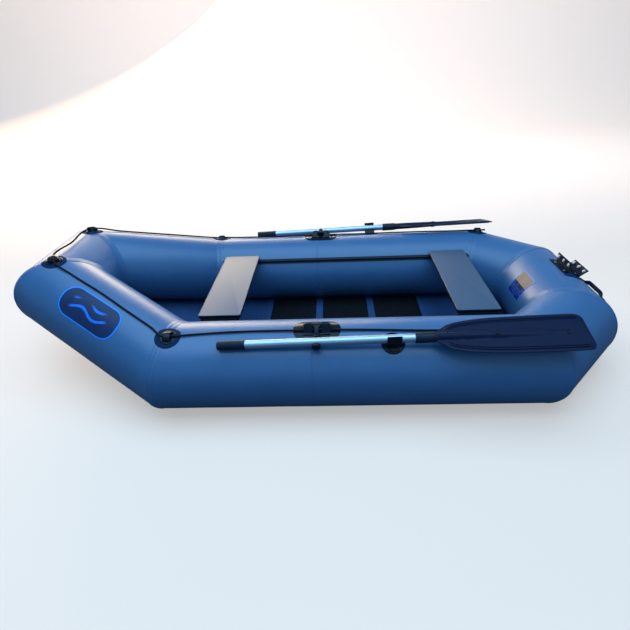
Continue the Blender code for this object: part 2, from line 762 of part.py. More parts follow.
def rowlock_base(parent, forms):
    """Patch, foot and two arched ears in one moulding, with the axle's bore and a rope tunnel."""
    outline = rounded_rectangle(ROWLOCK_PATCH_LENGTH, ROWLOCK_PATCH_WIDTH, ROWLOCK_PATCH_CORNER)
    base = conformal_patch("port_rowlock_base", outline, "black_moulding", parent, ROWLOCK,
                           forms["patch"])
    half = ROWLOCK_LENGTH / 2
    foot = ROWLOCK_FOOT_WIDTH / 2
    shape = block((-half, -foot, -ROWLOCK_SINK), (half, foot, ROWLOCK_FOOT_HEIGHT))
    boolean(base, "UNION", guide("rowlock_foot", shape, parent, ROWLOCK))
    ear = half - EAR_GAP / 2
    for side in (-1, 1):
        sections = []
        for station, height in zip(EAR_STATION_SHARES, EAR_HEIGHT_SHARES):
            x = side * (EAR_GAP / 2 + ear * station)
            sections.append([Vector((x, y, z)) for y, z in ear_section(height)])
        boolean(base, "UNION", guide(f"rowlock_ear_{side + 2}", loft(sections), parent, ROWLOCK))
    boolean(base, "DIFFERENCE", forms["tube"])
    reach = half + CUT_OVERRUN
    bore = rod(AXLE_RADIUS + FIT_GAP, -reach, reach, AXLE_SIDES)
    along_axle = axes(PIVOT, Y, Z, X)
    boolean(base, "DIFFERENCE", guide("axle_bore", bore, parent, along_axle))
    rope = rod(ROPE_RADIUS + ROPE_TUNNEL_CLEARANCE, -reach, reach, AXLE_SIDES)
    at_rope = axes(side_point(ROWLOCK_X, TUNNEL_ANGLE, ROPE_HEIGHT), Y, Z, X)
    boolean(base, "DIFFERENCE", guide("rope_tunnel", rope, parent, at_rope))
    axle = rod(AXLE_RADIUS, -AXLE_LENGTH / 2, AXLE_LENGTH / 2, AXLE_SIDES)
    solid("port_rowlock_axle", axle, "steel", parent, along_axle)


def yoke(pivot):
    """T-shaped arm on the axle, ending in a shoulder and the pin that goes through the oar."""
    half = EAR_GAP / 2 - FIT_GAP
    neck = YOKE_BARREL_RADIUS
    foot = SHOULDER_TOP - YOKE_SHOULDER_THICKNESS
    profile = (
        (half, 0), (half * YOKE_NECK_SHARE, neck), (YOKE_WAIST_WIDTH / 2, neck * 2),
        (YOKE_WAIST_WIDTH / 2, foot - neck), (YOKE_SHOULDER_WIDTH / 2, foot),
        (YOKE_SHOULDER_WIDTH / 2, SHOULDER_TOP),
    )
    outline = list(profile) + [(-x, z) for x, z in reversed(profile)]
    arm_frame = Matrix.Rotation(math.pi / 2, 4, "X")
    thickness = YOKE_THICKNESS / 2
    arm = solid("port_yoke", prism(outline, -thickness, thickness), "black_moulding",
                pivot, arm_frame)
    barrel_frame = Matrix.Rotation(math.pi / 2, 4, "Y")
    barrel = guide("yoke_barrel", rod(YOKE_BARREL_RADIUS, -half, half, VALVE_SIDES),
                   pivot, barrel_frame)
    boolean(arm, "UNION", barrel)
    pin = turned((
        (0, SHOULDER_TOP - YOKE_SHOULDER_THICKNESS),
        (YOKE_SHOULDER_WIDTH / 2, SHOULDER_TOP - YOKE_SHOULDER_THICKNESS),
        (YOKE_SHOULDER_WIDTH / 2, SHOULDER_TOP), (PIN_RADIUS, SHOULDER_TOP),
        (PIN_RADIUS, KNOB_SEAT + PIN_THREAD_LENGTH), (0, KNOB_SEAT + PIN_THREAD_LENGTH),
    ), PIN_SIDES)
    boolean(arm, "UNION", guide("oar_pin", pin, pivot))
    bore = rod(AXLE_RADIUS + FIT_GAP, -half - CUT_OVERRUN, half + CUT_OVERRUN, AXLE_SIDES)
    boolean(arm, "DIFFERENCE", guide("yoke_bore", bore, pivot, barrel_frame))
    return arm


def knob(pivot):
    """Retaining knob on the end of the oar pin."""
    bore = PIN_RADIUS + FIT_GAP
    depth = PIN_THREAD_LENGTH + FIT_GAP
    rim = KNOB_RADIUS - KNOB_EDGE
    shape = turned((
        (0, depth), (bore, depth), (bore, 0), (rim, 0), (KNOB_RADIUS, KNOB_EDGE),
        (KNOB_RADIUS, KNOB_LENGTH - KNOB_EDGE * 2), (rim, KNOB_LENGTH - KNOB_EDGE),
        (rim / 2, KNOB_LENGTH), (0, KNOB_LENGTH),
    ), KNOB_SIDES)
    axis = empty("port_knob_axis", pivot, Matrix.Translation((0, 0, KNOB_SEAT)))
    return solid("port_oar_knob", shape, "black_moulding", axis)


def along_oar(place):
    """Frame on the oar's axis, this far from the grip's end, with z towards the blade."""
    return OAR @ axes(Vector((place - OAR_PIN_PLACE, 0, 0)), Y, Z, X)


def grip_and_shaft(pivot, to_pivot):
    """Rubber grip, closed at its end, and the aluminium tube that it sleeves."""
    inside = SHAFT_RADIUS + FIT_GAP
    shape = turned((
        (0, 0), (GRIP_RADIUS, 0), (GRIP_RADIUS, GRIP_LENGTH), (inside, GRIP_LENGTH),
        (inside, GRIP_END_THICKNESS), (0, GRIP_END_THICKNESS),
    ), SHAFT_SIDES)
    solid("port_oar_grip", shape, "black_moulding", pivot, to_pivot @ along_oar(0))
    start = GRIP_END_THICKNESS + FIT_GAP
    end = SOCKET_PLACE + SOCKET_LENGTH - SOCKET_WALL - FIT_GAP
    wall = SHAFT_RADIUS - SHAFT_WALL
    shape = turned(((SHAFT_RADIUS, start), (SHAFT_RADIUS, end), (wall, end), (wall, start)),
                   SHAFT_SIDES)
    shaft = solid("port_oar_shaft", shape, "aluminium", pivot, to_pivot @ along_oar(0))
    reach = SHAFT_RADIUS + CUT_OVERRUN
    hole = rod(PIN_RADIUS + FIT_GAP, OAR_ARM - reach, OAR_ARM + reach, PIN_SIDES)
    boolean(shaft, "DIFFERENCE", guide("pin_hole", hole, pivot))


def blade_half_width(share):
    """Half width of the blade at a share of its length, from the outline."""
    for (a, wide_a), (b, wide_b) in zip(BLADE_OUTLINE_SHARES, BLADE_OUTLINE_SHARES[1:]):
        if share <= b:
            return BLADE_WIDTH / 2 * (wide_a + (wide_b - wide_a) * (share - a) / (b - a))
    return BLADE_WIDTH / 2 * BLADE_OUTLINE_SHARES[-1][1]


def blade_section(share):
    """Half of the blade's section as (across, half thickness) pairs, from the middle to the edge."""
    half = blade_half_width(share)
    scale = half / (BLADE_WIDTH / 2)
    flat = BLADE_THICKNESS / 2
    fade = max(0.0, 1 - (share / BLADE_SPINE_LENGTH_SHARE) ** 2)
    narrowing = min(BLADE_SPINE_TIP_SHARE + fade, scale / BLADE_SPINE_ROOT_SHARE, 1)
    spine = BLADE_SPINE_WIDTH / 2 * narrowing
    spine_top = flat + BLADE_SPINE_HEIGHT * fade
    rib = half - BLADE_RIB_INSET * scale
    edge = BLADE_RIB_WIDTH / 2 * scale
    ends = min(1, share / BLADE_RIB_START_SHARE, (1 - share) / BLADE_RIB_END_SHARE)
    rib_top = flat + BLADE_RIB_HEIGHT * ends
    return (
        (0, spine_top), (spine / 2, flat + (spine_top - flat) * BLADE_SPINE_CROWN_SHARE),
        (spine, flat),
        (rib - edge * 2, flat), (rib - edge, rib_top), (rib + edge, rib_top),
        (rib + edge * 2, flat), (half, flat / 2),
    )


def blade(pivot, to_pivot):
    """Moulded blade and the socket that takes the shaft's end."""
    inside = SHAFT_RADIUS + FIT_GAP
    outside = inside + SOCKET_WALL
    end = SOCKET_LENGTH
    shape = turned((
        (0, end - SOCKET_WALL), (inside, end - SOCKET_WALL), (inside, 0), (outside, 0),
        (outside, end - SOCKET_WALL), (outside - SOCKET_WALL, end), (0, end),
    ), SHAFT_SIDES)
    socket = solid("port_oar_blade", shape, "blade_plastic", pivot,
                   to_pivot @ along_oar(SOCKET_PLACE))
    start = SOCKET_PLACE + SOCKET_LENGTH - SOCKET_WALL / 2
    sections = []
    for share, _ in BLADE_OUTLINE_SHARES:
        x = start + share * (OAR_LENGTH - start) - OAR_PIN_PLACE
        half = blade_section(share)
        full = [(-y, z) for y, z in reversed(half[1:])] + list(half)
        top = [Vector((x, y, z)) for y, z in full]
        low = [Vector((x, y, -z)) for y, z in full]
        sections.append(top + low[::-1])
    boolean(socket, "UNION", guide("blade_plate", loft(sections), pivot, to_pivot @ OAR))
    return socket


def oar_holder(parent, forms):
    """Round patch on the port tube with a hook that the stowed shaft rests in."""
    along = (HOLDER_X - ROWLOCK_X) / OAR_RUN.x
    centre = OAR_CENTRE + OAR_RUN * along
    outboard = -SIDE_Y - centre.y
    angle = math.atan2(centre.z - TUBE_RADIUS, outboard)
    height = math.hypot(centre.z - TUBE_RADIUS, outboard) - TUBE_RADIUS
    patch_frame = standing_on(side_point(HOLDER_X, angle, 0), side_normal(angle), X)
    outline = arc((0, 0), HOLDER_PATCH_RADIUS, HOLDER_PATCH_RADIUS, 0,
                  math.tau * (1 - 1 / HOLDER_PATCH_SIDES), HOLDER_PATCH_SIDES)
    holder = conformal_patch("port_oar_holder", outline, "black_moulding", parent, patch_frame,
                             forms["patch"])
    inner = SHAFT_RADIUS + FIT_GAP
    outer = inner + HOOK_WALL
    down = math.pi + angle
    bottom = 1.5 * math.pi
    reach = inner + HOOK_LIP_GAP
    saddle = arc((0, 0), inner, inner, down - HOOK_SPREAD, bottom, HOOK_ARC_POINTS // 2)
    bend = arc((0, 0), reach, inner, bottom, math.tau, HOOK_ARC_POINTS // 2)
    back = arc((0, 0), reach + HOOK_WALL, outer, math.tau, down + HOOK_SPREAD, HOOK_ARC_POINTS // 2)
    half = outer * math.sin(HOOK_SPREAD)
    hook = saddle + bend[1:] + [(reach, HOOK_LIP_RISE), (reach + HOOK_WALL, HOOK_LIP_RISE)] + back
    outline = [
        (-out * math.sin(angle) + up * math.cos(angle), out * math.cos(angle) + up * math.sin(angle))
        for out, up in hook
    ]
    sink = -height - HOOK_SINK
    outline += [(-half, sink), (half, sink),
                (half, -outer * math.cos(HOOK_SPREAD))]
    frame = lying_along(centre, OAR_RUN, side_normal(angle))
    section = frame @ axes(Vector((0, 0, 0)), Y, Z, X)
    shape = prism(outline, -HOOK_LENGTH / 2, HOOK_LENGTH / 2)
    boolean(holder, "UNION", guide("oar_hook", shape, parent, section))
    boolean(holder, "DIFFERENCE", forms["tube"])
    return holder


# Grab line


FRONT_LOOP_X = FORE.x + FRONT_LOOP_SETBACK
REAR_LOOP_X = AFT.x + REAR_LOOP_OVERSHOOT


def rope_loop(name, parent, place, forms):
    """Round patch with a bridge that the grab line passes under."""
    outline = arc((0, 0), LOOP_PATCH_RADIUS, LOOP_PATCH_RADIUS, 0,
                  math.tau * (1 - 1 / LOOP_PATCH_SIDES), LOOP_PATCH_SIDES)
    loop = conformal_patch(name, outline, "black_moulding", parent, place, forms["patch"])
    sink = LOOP_PATCH_RADIUS / 4
    sections = []
    for share, size in zip(LOOP_STATION_SHARES, LOOP_SIZE_SHARES):
        top = arc((0, 0), LOOP_HALF_WIDTH * size, LOOP_HEIGHT * size, 0, math.pi, LOOP_SIDES // 2 + 1)
        points = [(LOOP_HALF_WIDTH * size, -sink), *top, (-LOOP_HALF_WIDTH * size, -sink)]
        sections.append([Vector((share * LOOP_HALF_LENGTH, y, z)) for y, z in points])
    boolean(loop, "UNION", guide(f"{name}_bridge", loft(sections), parent, place))
    slot = arc((0, 0), LOOP_SLOT_HALF_WIDTH, LOOP_SLOT_HEIGHT, 0, math.pi, LOOP_SIDES // 2 + 1)
    slot_low = PATCH_THICKNESS + 2 * FIT_GAP
    slot = [(y, max(z, slot_low)) for y, z in slot]
    reach = LOOP_HALF_LENGTH + CUT_OVERRUN
    along = place @ axes(Vector((0, 0, 0)), Y, Z, X)
    cutter = guide(f"{name}_slot", prism(slot, -reach, reach), parent, along)
    boolean(loop, "DIFFERENCE", cutter)
    boolean(loop, "DIFFERENCE", forms["tube"])
    return loop


def smooth_line(points):
    """Even points of a smooth curve through these, then thinned where it runs straight."""
    padded = [points[0] * 2 - points[1], *points, points[-1] * 2 - points[-2]]
    line = []
    for p0, p1, p2, p3 in zip(padded, padded[1:], padded[2:], padded[3:]):
        t1 = (p1 - p0).length
        t2 = t1 + (p2 - p1).length
        t3 = t2 + (p3 - p2).length
        for i in range(ROPE_SAMPLES):
            t = t1 + (t2 - t1) * i / ROPE_SAMPLES
            a1 = p0.lerp(p1, t / t1)
            a2 = p1.lerp(p2, (t - t1) / (t2 - t1))
            a3 = p2.lerp(p3, (t - t2) / (t3 - t2))
            b1 = a1.lerp(a2, t / t2)
            b2 = a2.lerp(a3, (t - t1) / (t3 - t1))
            line.append(b1.lerp(b2, (t - t1) / (t2 - t1)))
    kept = [line[0]]
    for point, after in zip(line[1:], line[2:]):
        run = point - kept[-1]
        if run.length > ROPE_STEP or run.angle(after - point) > ROPE_TURN:
            kept.append(point)
    return kept + [points[-1]]


def along_side(start, end, shares):
    """Route over the side tube between two fittings, as (share of the way, angle) pairs."""
    return [
        side_point(start + (end - start) * share, math.radians(angle), ROPE_REST_HEIGHT)
        for share, angle in shares
    ]


def through_side(x, half, angle):
    """Straight stretch of the route through a fitting on the side tube."""
    return [side_point(x - side * half, angle, ROPE_HEIGHT) for side in (-1, 1)]


def grab_line(parent, bow_loop):
    """Rope from the port rear loop, through the rowlock and round the bow, to starboard."""
    half = ROWLOCK_LENGTH / 2
    bridge = LOOP_HALF_LENGTH
    port = [side_point(REAR_LOOP_X + ROPE_TAIL, REAR_LOOP_ANGLE, ROPE_HEIGHT)]
    port += through_side(REAR_LOOP_X, bridge, REAR_LOOP_ANGLE)
    port += along_side(REAR_LOOP_X - bridge, ROWLOCK_X + half, AFT_ROPE_SHARES)
    port += through_side(ROWLOCK_X, half, TUNNEL_ANGLE)
    port += along_side(ROWLOCK_X - half, FRONT_LOOP_X + bridge, FORE_ROPE_SHARES)
    port += through_side(FRONT_LOOP_X, bridge, FRONT_LOOP_ANGLE)
    port += [
        quarter_point(share, math.radians(angle), ROPE_REST_HEIGHT)
        for share, angle in BOW_ROPE_SHARES
    ]
    port += [bow_loop @ Vector((x, 0, ROPE_HEIGHT)) for x in (-bridge, bridge)]
    crest = Vector((port[-1].x, 0, port[-1].z + ROPE_SLACK))
    line = smooth_line(port + [crest] + mirrored_points(reversed(port)))
    curve = bpy.data.curves.new("grab_line", "CURVE")
    curve.dimensions = "3D"
    curve.bevel_depth = ROPE_RADIUS
    curve.bevel_resolution = 2
    curve.use_fill_caps = True
    spline = curve.splines.new("POLY")
    spline.points.add(len(line) - 1)
    for point, place in zip(spline.points, line):
        point.co = (*place, 1)
    curve.materials.append(MATERIALS["rope"])
    rope = bpy.data.objects.new("grab_line", curve)
    bpy.context.scene.collection.objects.link(rope)
    rope.parent = parent
    length = sum((b - a).length for a, b in zip(line, line[1:]))
    print(f"grab line: {length:.3f} m, {len(line)} points")


def bow_loop_frame():
    """Frame over the port bow corner, turned half way between the two tubes."""
    origin = quarter_point(1.0, BOW_LOOP_ANGLE, 0)
    return standing_on(origin, origin - BOW, BOW_RUN + Y)


# Inflation valves


def valve(name, parent, x, panel, forms):
    """One valve: body through the fabric, plunger on its spring, and screw cap."""
    origin = Vector((x, -SIDE_Y + TUBE_RADIUS, TUBE_RADIUS))
    place = axes(origin, Z, X, Y)
    hole = rod(VALVE_BARREL_RADIUS + FIT_GAP, -VALVE_FLANGE_RADIUS, VALVE_FLANGE_RADIUS, VALVE_SIDES)
    boolean(panel, "DIFFERENCE", guide(f"{name}_hole", hole, parent, place))
    flange = rod(VALVE_FLANGE_RADIUS, -VALVE_FLANGE_SINK, VALVE_FLANGE_HEIGHT, VALVE_SIDES)
    body = solid(f"{name}_body", flange, "black_moulding", parent, place)
    boolean(body, "DIFFERENCE", forms["tube"])
    barrel = rod(VALVE_BARREL_RADIUS, -VALVE_BARREL_DEPTH, VALVE_NECK_HEIGHT, VALVE_SIDES)
    boolean(body, "UNION", guide(f"{name}_barrel", barrel, parent, place))
    web_top = -VALVE_WEB_DEPTH
    web_low = web_top - VALVE_WEB_THICKNESS
    upper = rod(VALVE_BORE_RADIUS, web_top, VALVE_NECK_HEIGHT + CUT_OVERRUN, VALVE_SIDES)
    boolean(body, "DIFFERENCE", guide(f"{name}_bore", upper, parent, place))
    lower = rod(VALVE_BORE_RADIUS, -VALVE_BARREL_DEPTH - CUT_OVERRUN, web_low, VALVE_SIDES)
    boolean(body, "DIFFERENCE", guide(f"{name}_chamber", lower, parent, place))
    throat = rod(VALVE_WEB_HOLE_RADIUS, web_low - CUT_OVERRUN, web_top + CUT_OVERRUN, PIN_SIDES)
    boolean(body, "DIFFERENCE", guide(f"{name}_throat", throat, parent, place))
    axis = empty(f"{name}_axis", parent, place)
    head_top = web_low - FIT_GAP
    head_low = head_top - PLUNGER_DISC_THICKNESS
    button_low = PLUNGER_BUTTON_HEIGHT
    button_top = button_low + PLUNGER_DISC_THICKNESS
    shape = turned((
        (0, head_low), (PLUNGER_HEAD_RADIUS, head_low), (PLUNGER_HEAD_RADIUS, head_top),
        (PLUNGER_STEM_RADIUS, head_top), (PLUNGER_STEM_RADIUS, button_low),
        (PLUNGER_BUTTON_RADIUS, button_low), (PLUNGER_BUTTON_RADIUS, button_top), (0, button_top),
    ), PIN_SIDES)
    solid(f"{name}_plunger", shape, "black_moulding", axis)
    inside = VALVE_BARREL_RADIUS + CAP_THREAD_GAP
    outside = inside + CAP_WALL
    rim = VALVE_FLANGE_HEIGHT + FIT_GAP
    roof = VALVE_NECK_HEIGHT + FIT_GAP
    top = roof + CAP_TOP
    shape = turned((
        (0, roof), (inside, roof), (inside, rim), (outside, rim),
        (outside, top - CAP_FLUTE_DEPTH), (outside - CAP_FLUTE_DEPTH, top), (0, top),
    ), VALVE_SIDES)
    flute = math.tau / VALVE_SIDES
    for vert in shape.verts:
        turn = round(math.atan2(vert.co.y, vert.co.x) / flute)
        if turn % 2 and vert.co.xy.length > outside - CAP_FLUTE_DEPTH * 1.5:
            vert.co.xy *= 1 - CAP_FLUTE_DEPTH / outside
    solid(f"{name}_cap", shape, "black_moulding", axis)
    valve_spring(f"{name}_spring", parent, place, web_top, button_low)


def valve_spring(name, parent, place, low, high):
    """Open coil that holds the plunger up."""
    margin = SPRING_WIRE_RADIUS + FIT_GAP
    count = SPRING_TURNS * SPRING_POINTS_PER_TURN
    curve = bpy.data.curves.new(name, "CURVE")
    curve.dimensions = "3D"
    curve.bevel_depth = SPRING_WIRE_RADIUS
    curve.bevel_resolution = 1
    curve.use_fill_caps = True
    spline = curve.splines.new("POLY")
    spline.points.add(count)
    line = []
    for i in range(count + 1):
        angle = math.tau * i / SPRING_POINTS_PER_TURN
        height = low + margin + (high - low - margin * 2) * i / count
        line.append(Vector((SPRING_RADIUS * math.cos(angle), SPRING_RADIUS * math.sin(angle), height)))
    for point, spot in zip(spline.points, line):
        point.co = (*spot, 1)
    curve.materials.append(MATERIALS["steel"])
    obj = bpy.data.objects.new(name, curve)
    bpy.context.scene.collection.objects.link(obj)
    obj.parent = parent
    obj.matrix_basis = place
    apart = SPRING_POINTS_PER_TURN // 2
    pairs = ((a, b) for i, a in enumerate(line) for b in line[i + apart:])
    gap = min((b - a).length for a, b in pairs) - 2 * SPRING_WIRE_RADIUS
    print(f"{name}: least gap to itself {gap * 1000:.2f} mm")


# Stern fittings


def bracket_plate(name, parent, facet, height, lean):
    """Bent plate: a foot on one facet of the stern tube, and a leaf with three bolt holes."""
    frame = stern_frame(0, facet)
    base = BRACKET_PAD_THICKNESS + 2 * FIT_GAP
    tilt = 2 * facet * HALF_STEP - lean
    bend = Vector((PLATE_FOOT_LENGTH / 2 + PLATE_FOOT_SETBACK, base + PLATE_THICKNESS / 2))
    toe = bend - Vector((PLATE_FOOT_LENGTH, 0))
    rise = Vector((-math.sin(tilt), math.cos(tilt)))
    tip = bend + rise * height
    outline = strip((toe, bend, tip), PLATE_THICKNESS)
    section = frame @ axes(Vector((0, 0, 0)), -Y, Z, -X)
    plate = solid(name, prism(outline, -PLATE_WIDTH / 2, PLATE_WIDTH / 2), "black_moulding",
                  parent, section)
    for i in (-1, 0, 1):
        centre = tip - rise * BOLT_HOLE_SETBACK
        origin = Vector((centre.x, centre.y, i * BOLT_HOLE_PITCH))
        place = section @ axes(origin, Z, (rise.x, rise.y, 0), (rise.y, -rise.x, 0))
        hole = rod(BOLT_HOLE_RADIUS, -PLATE_THICKNESS, PLATE_THICKNESS, BOLT_HOLE_SIDES)
        boolean(plate, "DIFFERENCE", guide(f"{name}_hole_{i + 2}", hole, parent, place))
    return plate


def stern_bracket(parent, forms):
    """Pad on top of the stern tube, and the two plates that stand on it."""
    normal = Vector((math.sin(BRACKET_PAD_ANGLE), 0, math.cos(BRACKET_PAD_ANGLE)))
    origin = Vector((STERN.x, 0, TUBE_RADIUS)) + normal * TUBE_RADIUS
    outline = rounded_rectangle(BRACKET_PAD_WIDTH, BRACKET_PAD_REACH, BRACKET_PAD_CORNER)
    pad = conformal_patch("stern_bracket_pad", outline, "patch_fabric", parent,
                          standing_on(origin, normal, Y), forms["pad"])
    boolean(pad, "DIFFERENCE", forms["tube"])
    bracket_plate("stern_bracket_front_plate", parent, FRONT_PLATE_FACET,
                  FRONT_PLATE_HEIGHT, FRONT_PLATE_LEAN)
    bracket_plate("stern_bracket_rear_plate", parent, REAR_PLATE_FACET,
                  REAR_PLATE_HEIGHT, REAR_PLATE_LEAN)


def stern_handle(parent):
    """Carry handle: two tabs on the tube and a raised grip between them."""
    end = HANDLE_LENGTH / 2
    tab = end - HANDLE_TAB_LENGTH
    grip = HANDLE_GRIP_LENGTH / 2
    low = FIT_GAP
    under = HANDLE_HEIGHT - HANDLE_GRIP_THICKNESS
    profile = (
        (end, low), (end, low + HANDLE_TAB_THICKNESS), (tab, low + HANDLE_TAB_THICKNESS),
        (grip, HANDLE_HEIGHT),
    )
    inner = ((grip, under), (tab, low))
    outline = list(profile) + [(-a, h) for a, h in reversed(profile)]
    outline += [(-a, h) for a, h in reversed(inner)] + list(inner)
    frame = stern_frame(HANDLE_Y, HANDLE_FACET)
    section = frame @ axes(Vector((0, 0, 0)), X, Z, -Y)
    shape = prism(outline, -HANDLE_WIDTH / 2, HANDLE_WIDTH / 2)
    handle = solid("stern_handle", shape, "black_moulding", parent, section)
    return bevelled(handle, HANDLE_TAB_THICKNESS / 4, 1)


# Assembly


def mirrored_copy(obj, parent, origin):
    """The starboard twin of a finished port piece, with its own mesh and origin."""
    graph = bpy.context.evaluated_depsgraph_get()
    mesh = bpy.data.meshes.new_from_object(obj.evaluated_get(graph))
    boat_space = BOAT.matrix_world.inverted() @ obj.matrix_world
    mesh.transform(MIRROR @ boat_space)
    mesh.transform(Matrix.Translation(-origin))
    mesh.flip_normals()
    name = obj.name.replace("port_", "starboard_")
    mesh.name = name
    twin = bpy.data.objects.new(name, mesh)
    bpy.context.scene.collection.objects.link(twin)
    twin.parent = parent
    return twin


def centre_shift():
    """How far the hull moves along x for the origin to lie under the middle of the outline."""
    rings = hull_rings(TUBE_RADIUS)
    low = min(p.x for p in rings["bow"])
    frame = stern_frame(0, HANDLE_FACET)
    corner = frame @ Vector((0, HANDLE_WIDTH / 2, HANDLE_HEIGHT))
    other = frame @ Vector((0, -HANDLE_WIDTH / 2, HANDLE_HEIGHT))
    high = max(max(p.x for p in rings["stern"]), corner.x, other.x)
    return -(low + high) / 2


clear_scene()
MATERIALS = {name: make_material(name) for name in FINISHES}
BOAT = empty("boat", None, Matrix.Translation((centre_shift(), 0, 0)))
forms = {
    "tube": hull_form("tube", FIT_GAP, BOAT),
    "patch": hull_form("patch", FIT_GAP + PATCH_THICKNESS, BOAT),
    "pad": hull_form("pad", FIT_GAP + BRACKET_PAD_THICKNESS, BOAT),
}

panels = hull_panels(BOAT)
baffle("port_baffle", BOAT, -1)
baffle("starboard_baffle", BOAT, 1)
bottom_sheet(BOAT)
slat_floor(BOAT)
seat_rail(BOAT)
for name, x in (("front", FRONT_SEAT_X), ("rear", REAR_SEAT_X)):
    board = seat(f"{name}_seat", BOAT, x)
    seat_clip(f"port_{name}_seat_clip", BOAT, x)

rowlock_base(BOAT, forms)
oar_axis = empty("port_oar_axis", BOAT, YOKE)
yoke(oar_axis)
knob(oar_axis)
to_pivot = YOKE.inverted()
grip_and_shaft(oar_axis, to_pivot)
blade(oar_axis, to_pivot)
oar_holder(BOAT, forms)

bow_loop = bow_loop_frame()
grab_line(BOAT, bow_loop)
for name, x, angle in (
    ("front", FRONT_LOOP_X, FRONT_LOOP_ANGLE),
    ("rear", REAR_LOOP_X, REAR_LOOP_ANGLE),
):
    place = standing_on(side_point(x, angle, 0), side_normal(angle), X)
    rope_loop(f"port_{name}_rope_loop", BOAT, place, forms)
rope_loop("port_bow_rope_loop", BOAT, bow_loop, forms)

valve("fore_valve", BOAT, FORE_VALVE_X, panels["port_fore_side_panel"], forms)
valve("aft_valve", BOAT, AFT_VALVE_X, panels["port_aft_side_panel"], forms)
stern_bracket(BOAT, forms)
stern_handle(BOAT)

bpy.context.view_layer.update()
starboard_axis = empty("starboard_oar_axis", BOAT, Matrix.Translation(MIRROR @ PIVOT))
knob_origin = MIRROR @ (YOKE @ Vector((0, 0, KNOB_SEAT)))
knob_axis = empty("starboard_knob_axis", BOAT, Matrix.Translation(knob_origin))
for obj in list(bpy.data.objects):
    is_piece = obj.type == "MESH" and not obj.hide_render
    if not is_piece or not obj.name.startswith("port_") or obj.name.endswith(("_panel", "_baffle")):
        continue
    if obj.name == "port_oar_knob":
        mirrored_copy(obj, knob_axis, knob_origin)
    elif obj.parent == oar_axis:
        mirrored_copy(obj, starboard_axis, MIRROR @ PIVOT)
    else:
        mirrored_copy(obj, BOAT, Vector((0, 0, 0)))
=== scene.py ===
"""Looks of the inflatable rowing boat, over its CAD frame.

Lengths are in metres. Shapes are worked out in the boat's own frame, where x = 0 is the middle
of the straight side tubes, and every mesh is shifted into the CAD frame when it is made.
"""

import math

import bmesh
import bpy
from mathutils import Matrix, Vector, geometry, noise


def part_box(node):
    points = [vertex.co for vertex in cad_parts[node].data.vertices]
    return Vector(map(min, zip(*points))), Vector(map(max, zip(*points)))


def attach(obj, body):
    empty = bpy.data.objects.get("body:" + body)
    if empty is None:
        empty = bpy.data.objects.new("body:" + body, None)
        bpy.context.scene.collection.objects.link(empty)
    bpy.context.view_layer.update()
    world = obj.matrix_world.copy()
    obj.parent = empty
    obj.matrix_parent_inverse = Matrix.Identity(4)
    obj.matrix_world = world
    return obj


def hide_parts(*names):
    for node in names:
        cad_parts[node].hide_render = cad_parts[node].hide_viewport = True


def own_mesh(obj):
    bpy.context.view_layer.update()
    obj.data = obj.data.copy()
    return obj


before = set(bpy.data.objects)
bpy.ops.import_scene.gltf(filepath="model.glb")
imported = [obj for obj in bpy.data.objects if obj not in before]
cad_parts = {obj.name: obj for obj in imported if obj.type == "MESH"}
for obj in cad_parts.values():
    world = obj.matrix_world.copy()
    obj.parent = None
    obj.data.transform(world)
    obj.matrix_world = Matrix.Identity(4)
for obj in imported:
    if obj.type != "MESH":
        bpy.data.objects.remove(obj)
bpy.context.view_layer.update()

# Hull, as in the CAD
TUBE_RADIUS = 0.180
SIDE_Y = 0.465
BAFFLE_X = -0.150
FORE = Vector((-0.745, -SIDE_Y, TUBE_RADIUS))
BOW = Vector((-1.299, -0.158, 0.369))
AFT = Vector((0.745, -SIDE_Y, TUBE_RADIUS))
STERN = Vector((0.980, -0.231, TUBE_RADIUS))
X = Vector((1, 0, 0))
Y = Vector((0, 1, 0))
Z = Vector((0, 0, 1))
MIRROR = Matrix.Diagonal((1, -1, 1, 1))
BOW_RUN = (BOW - FORE).normalized()
STERN_RUN = (STERN - AFT).normalized()
SHIFT = Matrix.Translation((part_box("bow_panel")[0].x - (BOW.x - TUBE_RADIUS), 0, 0))
HULL = "hull"

# Skin of the tubes
SKIN_SIDES = 96
SKIN_STEP = 0.032
SEAM_STATIONS = (
    0.0001, 0.002, 0.005, 0.009, 0.013, 0.0165, 0.0178, 0.0195, 0.024, 0.031, 0.040, 0.052,
)
TAPE_WIDTH = 0.0172
TAPE_EDGE = 0.0012
TAPE_RISE = 0.0015
CORNER_ROUNDING = 0.019
PUCKER_DEPTH = 0.0006
PUCKER_REACH = 0.070
PUCKER_COUNT = 30
SEAM_SHARE_AT_BAFFLE = 0.12
SKIN_SWELL = 0.0005

# Fittings
PATCH_RISE = 0.0017
BRACKET_PATCH_RISE = 0.0022
PATCH_EDGE = 0.0030
LOOP_PATCH_RADIUS = 0.052
LOOP_HEIGHT = 0.0180
LOOP_HALF_WIDTH = 0.0225
LOOP_HALF_LENGTH = 0.0150
LOOP_THICKNESS = 0.0062
LOOP_PAD_SHARES = (0.66, 0.72)
LOOP_PAD_RISE = 0.0022
LOOP_PAD_EDGE = 0.0060
LOOP_PAD_LIP = 0.0004
FRONT_LOOP = (-0.715, 73.5)
REAR_LOOP = (0.766, 80.0)
BOW_LOOP_ANGLE = 80.5

